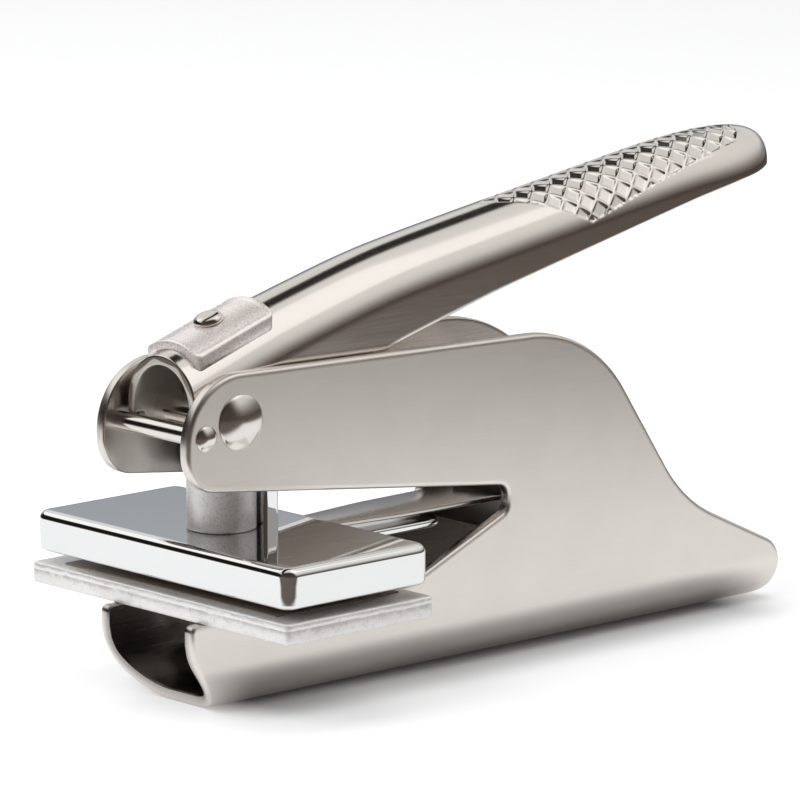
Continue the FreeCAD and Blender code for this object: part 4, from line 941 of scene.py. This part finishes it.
def build_tongue():
    """Tongue behind the press plate: a bar with a half-round end and soft edges.

    Each row is the outline drawn in towards the tongue's middle line by the row's inset.
    """
    half, low, high = TONGUE_HALF, TONGUE_LOW, TONGUE_HIGH
    angle = np.radians(np.linspace(-90, 90, 33))
    arc = np.column_stack([TONGUE_END - half + half * np.cos(angle), half * np.sin(angle)])
    straight = np.linspace(TONGUE_START, TONGUE_END - half, 20)
    near = np.column_stack([straight[:-1], np.full(19, -half)])
    ring = np.vstack([near, arc, (near * (1, -1))[::-1]])
    centre = np.clip(ring[:, 0], TONGUE_START + half, TONGUE_END - half)
    centre = np.column_stack([centre, np.zeros(len(ring))])
    rows = []
    for inset, z in ((5.4, low), (0.4, low), (0.12, low + 0.03), (0.03, low + 0.12), (0, low + 0.3),
                     (0, high - 0.4), (0.04, high - 0.18), (0.16, high - 0.04), (0.5, high), (5.4, high)):
        shrink = ring + (centre - ring) * inset / half
        shrink[:, 0] = np.maximum(shrink[:, 0], TONGUE_START)
        rows.append(np.column_stack([shrink, np.full(len(ring), z)]))
    capped("press_tongue_bar", np.stack(rows), "press", "press_tongue", "chrome_plate")


# ---------------------------------------------------------------- stage
# Directions towards the right wall, away from the left one, up, and towards the camera.
TO_RIGHT, FROM_LEFT, UP = (0.0, -1.0, 0.0), (1.0, 0.0, 0.0), (0.0, 0.0, 1.0)
TO_CAMERA = (-0.68, -0.73, 0.0)
FLOOR_LIFT, FLOOR_SHEEN, FLOOR_HALF_MM = 0.36, 0.55, 6000
# In metres: the mirrored floor is painted lit about a point out to one distance and painted dark
# past another, and dark towards the camera.
LIT_CENTRE, LIT_FULL, LIT_END = (0.01, 0.03, 0.0), 0.23, 0.31
DARK_START, DARK_END = 0.055, 0.095
# The sole's rectangle, and how far from it the floor's lift returns; nearer the sole the missing
# lift is a painted contact shadow.
FOOT_CENTRE, FOOT_HALF = (0.051, 0.0, 0.0), (0.049, 0.011, 0.0)
CONTACT_SEEN, CONTACT_MIRRORED, CONTACT_LEFT = 0.012, 0.018, 0.08
# Name, place in metres, width, height, radiance, and whether metal mirrors it.
LAMPS = (
    ("right_softbox", (0.33, -0.34, 0.82), 0.5, 0.6, 0.3, True),
    ("back_softbox", (-0.22, 0.80, 0.78), 0.7, 0.5, 0.35, True),
    ("top_light", (-0.05, 0.1, 1.25), 1.5, 1.5, 1.3, False),
    ("left_fill", (-1.0, 0.05, 0.75), 0.9, 0.9, 4.2, False),
)
AIM = (0.04, 0.0, 0.04)
# Walls at the back, right, left and front: stops by height, the two ends first.
WALLS = (
    ((0.0, "#7C7A79"), (1.0, "#ECEAE7"), (0.12, "#84868B"), (0.2, "#9A9DA3"), (0.29, "#D4D6D8"),
     (0.38, "#E2E3E1"), (0.8, "#DCDDD9")),
    ((0.0, "#5A504A"), (1.0, "#ECEAE7"), (0.1, "#77706B"), (0.22, "#A3A09D"), (0.36, "#D2D0CD"),
     (0.5, "#E4E2DF")),
    ((0.0, "#17120F"), (1.0, "#E6E3DF"), (0.44, "#1D1815"), (0.52, "#DADAD8"), (0.8, "#D8D6D3")),
    ((0.0, "#4A423D"), (1.0, "#2A2624")),
)
# Dark gap between the ceiling panels: where it points, and its share by how far it points there.
GAP_SIDE = (-0.22, 1.0, 0.0)
GAP = ((0.0, "#000000"), (1.0, "#000000"), (0.15, "#000000"), (0.21, "#FFFFFF"), (0.46, "#FFFFFF"),
       (0.5, "#000000"))
CAMERA_PLACE = (-0.62787, -0.73041, 0.23561)
CAMERA_TURN, CAMERA_TILT = math.radians(42.322), math.radians(11.098)


def passage(tree, direction, towards, low, high):
    """0..1 by how far a direction points towards a fixed one, eased by 3 t^2 - 2 t^3."""
    along = add(tree, VECTORS, {0: direction, 1: towards}, operation="DOT_PRODUCT")
    return add(tree, RANGE, {"Value": along, "From Min": low, "From Max": high}, **SMOOTH)


def build_floor():
    """Pale floor: white where the camera sees it, with the object's shadow.

    In reflections it glows near the object, a painted pool of light, and is painted dark further
    out and towards the camera.  Close to the sole both the seen and the mirrored floor lose their
    lift, which paints the contact shadow.
    """
    material = bpy.data.materials.new("matt paper floor")
    material.use_nodes = True
    tree = material.node_tree
    tree.nodes.clear()
    rays = add(tree, "ShaderNodeLightPath").outputs
    place = add(tree, "ShaderNodeTexCoord").outputs["Object"]
    glossy = rays["Is Glossy Ray"]
    # Painted reflection: in glossy rays the floor glows near the object and is dark far out and towards
    # the camera.
    reach = add(tree, VECTORS, {0: place, 1: LIT_CENTRE}, operation="DISTANCE")
    far = add(tree, RANGE, {"Value": reach, "From Min": LIT_FULL, "From Max": LIT_END}, **SMOOTH)
    near_camera = passage(tree, place, TO_CAMERA, DARK_START, DARK_END)
    dark = add(tree, MATH, {0: far, 1: near_camera}, operation="MAXIMUM")
    dark = add(tree, MATH, {0: dark, 1: glossy}, operation="MULTIPLY")
    half = add(tree, MATH, {0: glossy, 1: 0.5}, operation="MULTIPLY")
    dimmed = add(tree, MIX, {0: half, FIRST: linear("#D9DADC"), SECOND: linear("#000000")}, **COLOURS)
    paper = add(tree, MIX, {0: dark, FIRST: dimmed, SECOND: linear("#5C544F")}, **COLOURS)
    paper = add(tree, "ShaderNodeBsdfDiffuse", {"Color": paper})
    aside = add(tree, VECTORS, {0: place, 1: FOOT_CENTRE}, operation="SUBTRACT")
    aside = add(tree, VECTORS, {0: aside}, operation="ABSOLUTE")
    aside = add(tree, VECTORS, {0: aside, 1: FOOT_HALF}, operation="SUBTRACT")
    aside = add(tree, VECTORS, {0: aside}, operation="MAXIMUM")
    aside = add(tree, VECTORS, {0: aside}, operation="LENGTH")
    # Painted contact shadow in reflections: the mirrored floor's sheen fades out near the sole.
    open_floor = add(tree, RANGE, {
        "Value": aside, "From Max": CONTACT_MIRRORED, "To Min": CONTACT_LEFT}, **SMOOTH)
    sheen = add(tree, MATH, {0: glossy, 1: dark}, operation="SUBTRACT")
    sheen = add(tree, MATH, {0: sheen, 1: open_floor}, operation="MULTIPLY")
    # Painted contact shadow as the camera sees it: the floor's lift fades out near the sole.
    clear = add(tree, RANGE, {"Value": aside, "From Max": CONTACT_SEEN}, **SMOOTH)
    seen = add(tree, MATH, {0: rays["Is Camera Ray"], 1: clear}, operation="MULTIPLY")
    shown = add(tree, MATH, {0: seen, 1: rays["Is Transmission Ray"]}, operation="ADD")
    shown = add(tree, MATH, {0: shown, 1: FLOOR_LIFT}, operation="MULTIPLY")
    lift = add(tree, MATH, {0: sheen, 1: FLOOR_SHEEN, 2: shown}, operation="MULTIPLY_ADD")
    glow = add(tree, "ShaderNodeEmission", {"Color": linear("#FFFFFF"), "Strength": lift})
    both = add(tree, "ShaderNodeAddShader", {0: paper, 1: glow})
    add(tree, "ShaderNodeOutputMaterial", {"Surface": both})
    side = np.linspace(-FLOOR_HALF_MM, FLOOR_HALF_MM, 13)
    x, y = np.meshgrid(side, side, indexing="ij")
    points = np.stack([x, y, np.zeros_like(x)], -1).reshape(-1, 3) * MM
    data = bpy.data.meshes.new("floor")
    data.from_pydata(points.tolist(), [], lattice(13, 13, 0, False, False))
    data.materials.append(material)
    item = bpy.data.objects.new("floor", data)
    bpy.context.scene.collection.objects.link(item)


def build_world():
    """Studio walls: pale behind and to the right, dark to the left and behind the camera.

    A dark gap between two pale ceiling panels draws the dark line beside the handle's crest.
    """
    world = bpy.data.worlds.new("studio walls")
    bpy.context.scene.world = world
    world.use_nodes = True
    tree = world.node_tree
    tree.nodes.clear()
    place = add(tree, "ShaderNodeTexCoord").outputs["Generated"]
    height = add(tree, "ShaderNodeSeparateXYZ", {"Vector": place}).outputs["Z"]
    back, right, left, front = (add(tree, RAMP, {"Fac": height}, stops) for stops in WALLS)
    to_right = passage(tree, place, TO_RIGHT, -0.2, 0.4)
    from_left = passage(tree, place, FROM_LEFT, -0.25, 0.35)
    to_front = passage(tree, place, TO_CAMERA, 0.2, 0.6)
    walls = add(tree, MIX, {0: to_right, FIRST: back, SECOND: right}, **COLOURS)
    walls = add(tree, MIX, {0: from_left, FIRST: left, SECOND: walls}, **COLOURS)
    walls = add(tree, MIX, {0: to_front, FIRST: walls, SECOND: front}, **COLOURS)
    side = add(tree, VECTORS, {0: place, 1: GAP_SIDE}, operation="DOT_PRODUCT")
    panel = add(tree, RAMP, {"Fac": side}, GAP)
    gap = add(tree, MATH, {0: panel, 1: passage(tree, place, UP, 0.52, 0.6)}, operation="MULTIPLY")
    walls = add(tree, MIX, {0: gap, FIRST: walls, SECOND: linear("#241F1C")}, **COLOURS)
    wall = add(tree, "ShaderNodeBackground", {"Color": walls, "Strength": 1.0})
    add(tree, "ShaderNodeOutputWorld", {"Surface": wall})


def build_lamp(name, place, width, height, radiance, mirrored):
    """Area lamp that faces the object."""
    lamp = bpy.data.lights.new(name, "AREA")
    lamp.shape = "RECTANGLE"
    lamp.size, lamp.size_y = width, height
    lamp.energy = radiance * math.pi * width * height
    item = bpy.data.objects.new(name, lamp)
    item.location = place
    item.rotation_euler = (Vector(AIM) - Vector(place)).to_track_quat("-Z", "Y").to_euler()
    item.visible_camera = False
    item.visible_glossy = mirrored
    bpy.context.scene.collection.objects.link(item)


def build_camera():
    """Long lens from the near front corner, a little above the table."""
    data = bpy.data.cameras.new("camera")
    data.sensor_width = 36.0
    data.lens = 287.0
    data.clip_start, data.clip_end = 0.05, 30.0
    item = bpy.data.objects.new("camera", data)
    turn, tilt = CAMERA_TURN, CAMERA_TILT
    ahead = Vector((math.sin(turn) * math.cos(tilt), math.cos(turn) * math.cos(tilt), -math.sin(tilt)))
    right = Vector((math.cos(turn), -math.sin(turn), 0.0))
    up = right.cross(ahead)
    item.matrix_world = Matrix.Translation(CAMERA_PLACE) @ Matrix(
        (right, up, -ahead)).transposed().to_4x4()
    bpy.context.scene.collection.objects.link(item)
    bpy.context.scene.camera = item


# ---------------------------------------------------------------- operators
class EMBOSSER_OT_stage(bpy.types.Operator):
    """Build the floor, the lamps, the studio walls and the camera"""
    bl_idname = "embosser.stage"
    bl_label = "Stage"

    def execute(self, context):
        build_floor()
        build_world()
        for lamp in LAMPS:
            build_lamp(*lamp)
        build_camera()
        context.scene.view_settings.view_transform = "Standard"
        return {"FINISHED"}


class EMBOSSER_OT_inner(bpy.types.Operator):
    """Give the inner works of the press their finishes"""
    bl_idname = "embosser.inner"
    bl_label = "Inner works"

    def execute(self, context):
        slots = {sub["node"]: sub["material_slot"] for sub in frame["record"]["subparts"]}
        for node, item in frame["nodes"].items():
            item.data.materials[0] = finish(slots[node])
        return {"FINISHED"}


class EMBOSSER_OT_frame(bpy.types.Operator):
    """Build the bent frame with its rivet and pin"""
    bl_idname = "embosser.frame"
    bl_label = "Frame"

    def execute(self, context):
        build_frame(context.scene.embosser_sizes)
        for rivet in CROSS_RIVETS:
            build_cross_rivet(*rivet)
        return {"FINISHED"}


class EMBOSSER_OT_handle(bpy.types.Operator):
    """Build the arched handle with its badge"""
    bl_idname = "embosser.handle"
    bl_label = "Handle"

    def execute(self, context):
        build_handle(context.scene.embosser_sizes)
        build_badge()
        build_badge_rivet()
        return {"FINISHED"}


class EMBOSSER_OT_press(bpy.types.Operator):
    """Build the press plate, its plunger and guide bar, the lower plate and the spring"""
    bl_idname = "embosser.press"
    bl_label = "Press"

    def execute(self, context):
        for build in (build_press_plate, build_lower_plate, build_plunger, build_bar, build_leaf,
                      build_tongue):
            build()
        return {"FINISHED"}


class EMBOSSER_PT_panel(bpy.types.Panel):
    """Sidebar panel of the embosser's builders"""
    bl_label = "Seal embosser"
    bl_idname = "EMBOSSER_PT_panel"
    bl_space_type = "VIEW_3D"
    bl_region_type = "UI"
    bl_category = "Embosser"

    def draw(self, context):
        for group in (context.scene.embosser_sizes, context.scene.embosser_colours):
            for name in group.__annotations__:
                self.layout.prop(group, name)
        for name in STEPS:
            self.layout.operator("embosser." + name)


STEPS = ("stage", "inner", "frame", "handle", "press")
CLASSES = (EmbosserSizes, EmbosserColours, EMBOSSER_OT_stage, EMBOSSER_OT_inner, EMBOSSER_OT_frame,
           EMBOSSER_OT_handle, EMBOSSER_OT_press, EMBOSSER_PT_panel)


def register():
    """Register the classes and hang the two property groups on the scene."""
    for item in CLASSES:
        bpy.utils.register_class(item)
    bpy.types.Scene.embosser_sizes = bpy.props.PointerProperty(type=EmbosserSizes)
    bpy.types.Scene.embosser_colours = bpy.props.PointerProperty(type=EmbosserColours)


def unregister():
    """Take them off again."""
    del bpy.types.Scene.embosser_colours
    del bpy.types.Scene.embosser_sizes
    for item in reversed(CLASSES):
        bpy.utils.unregister_class(item)


def main():
    register()
    for name in STEPS:
        getattr(bpy.ops.embosser, name)()


if __name__ == "__main__":
    main()
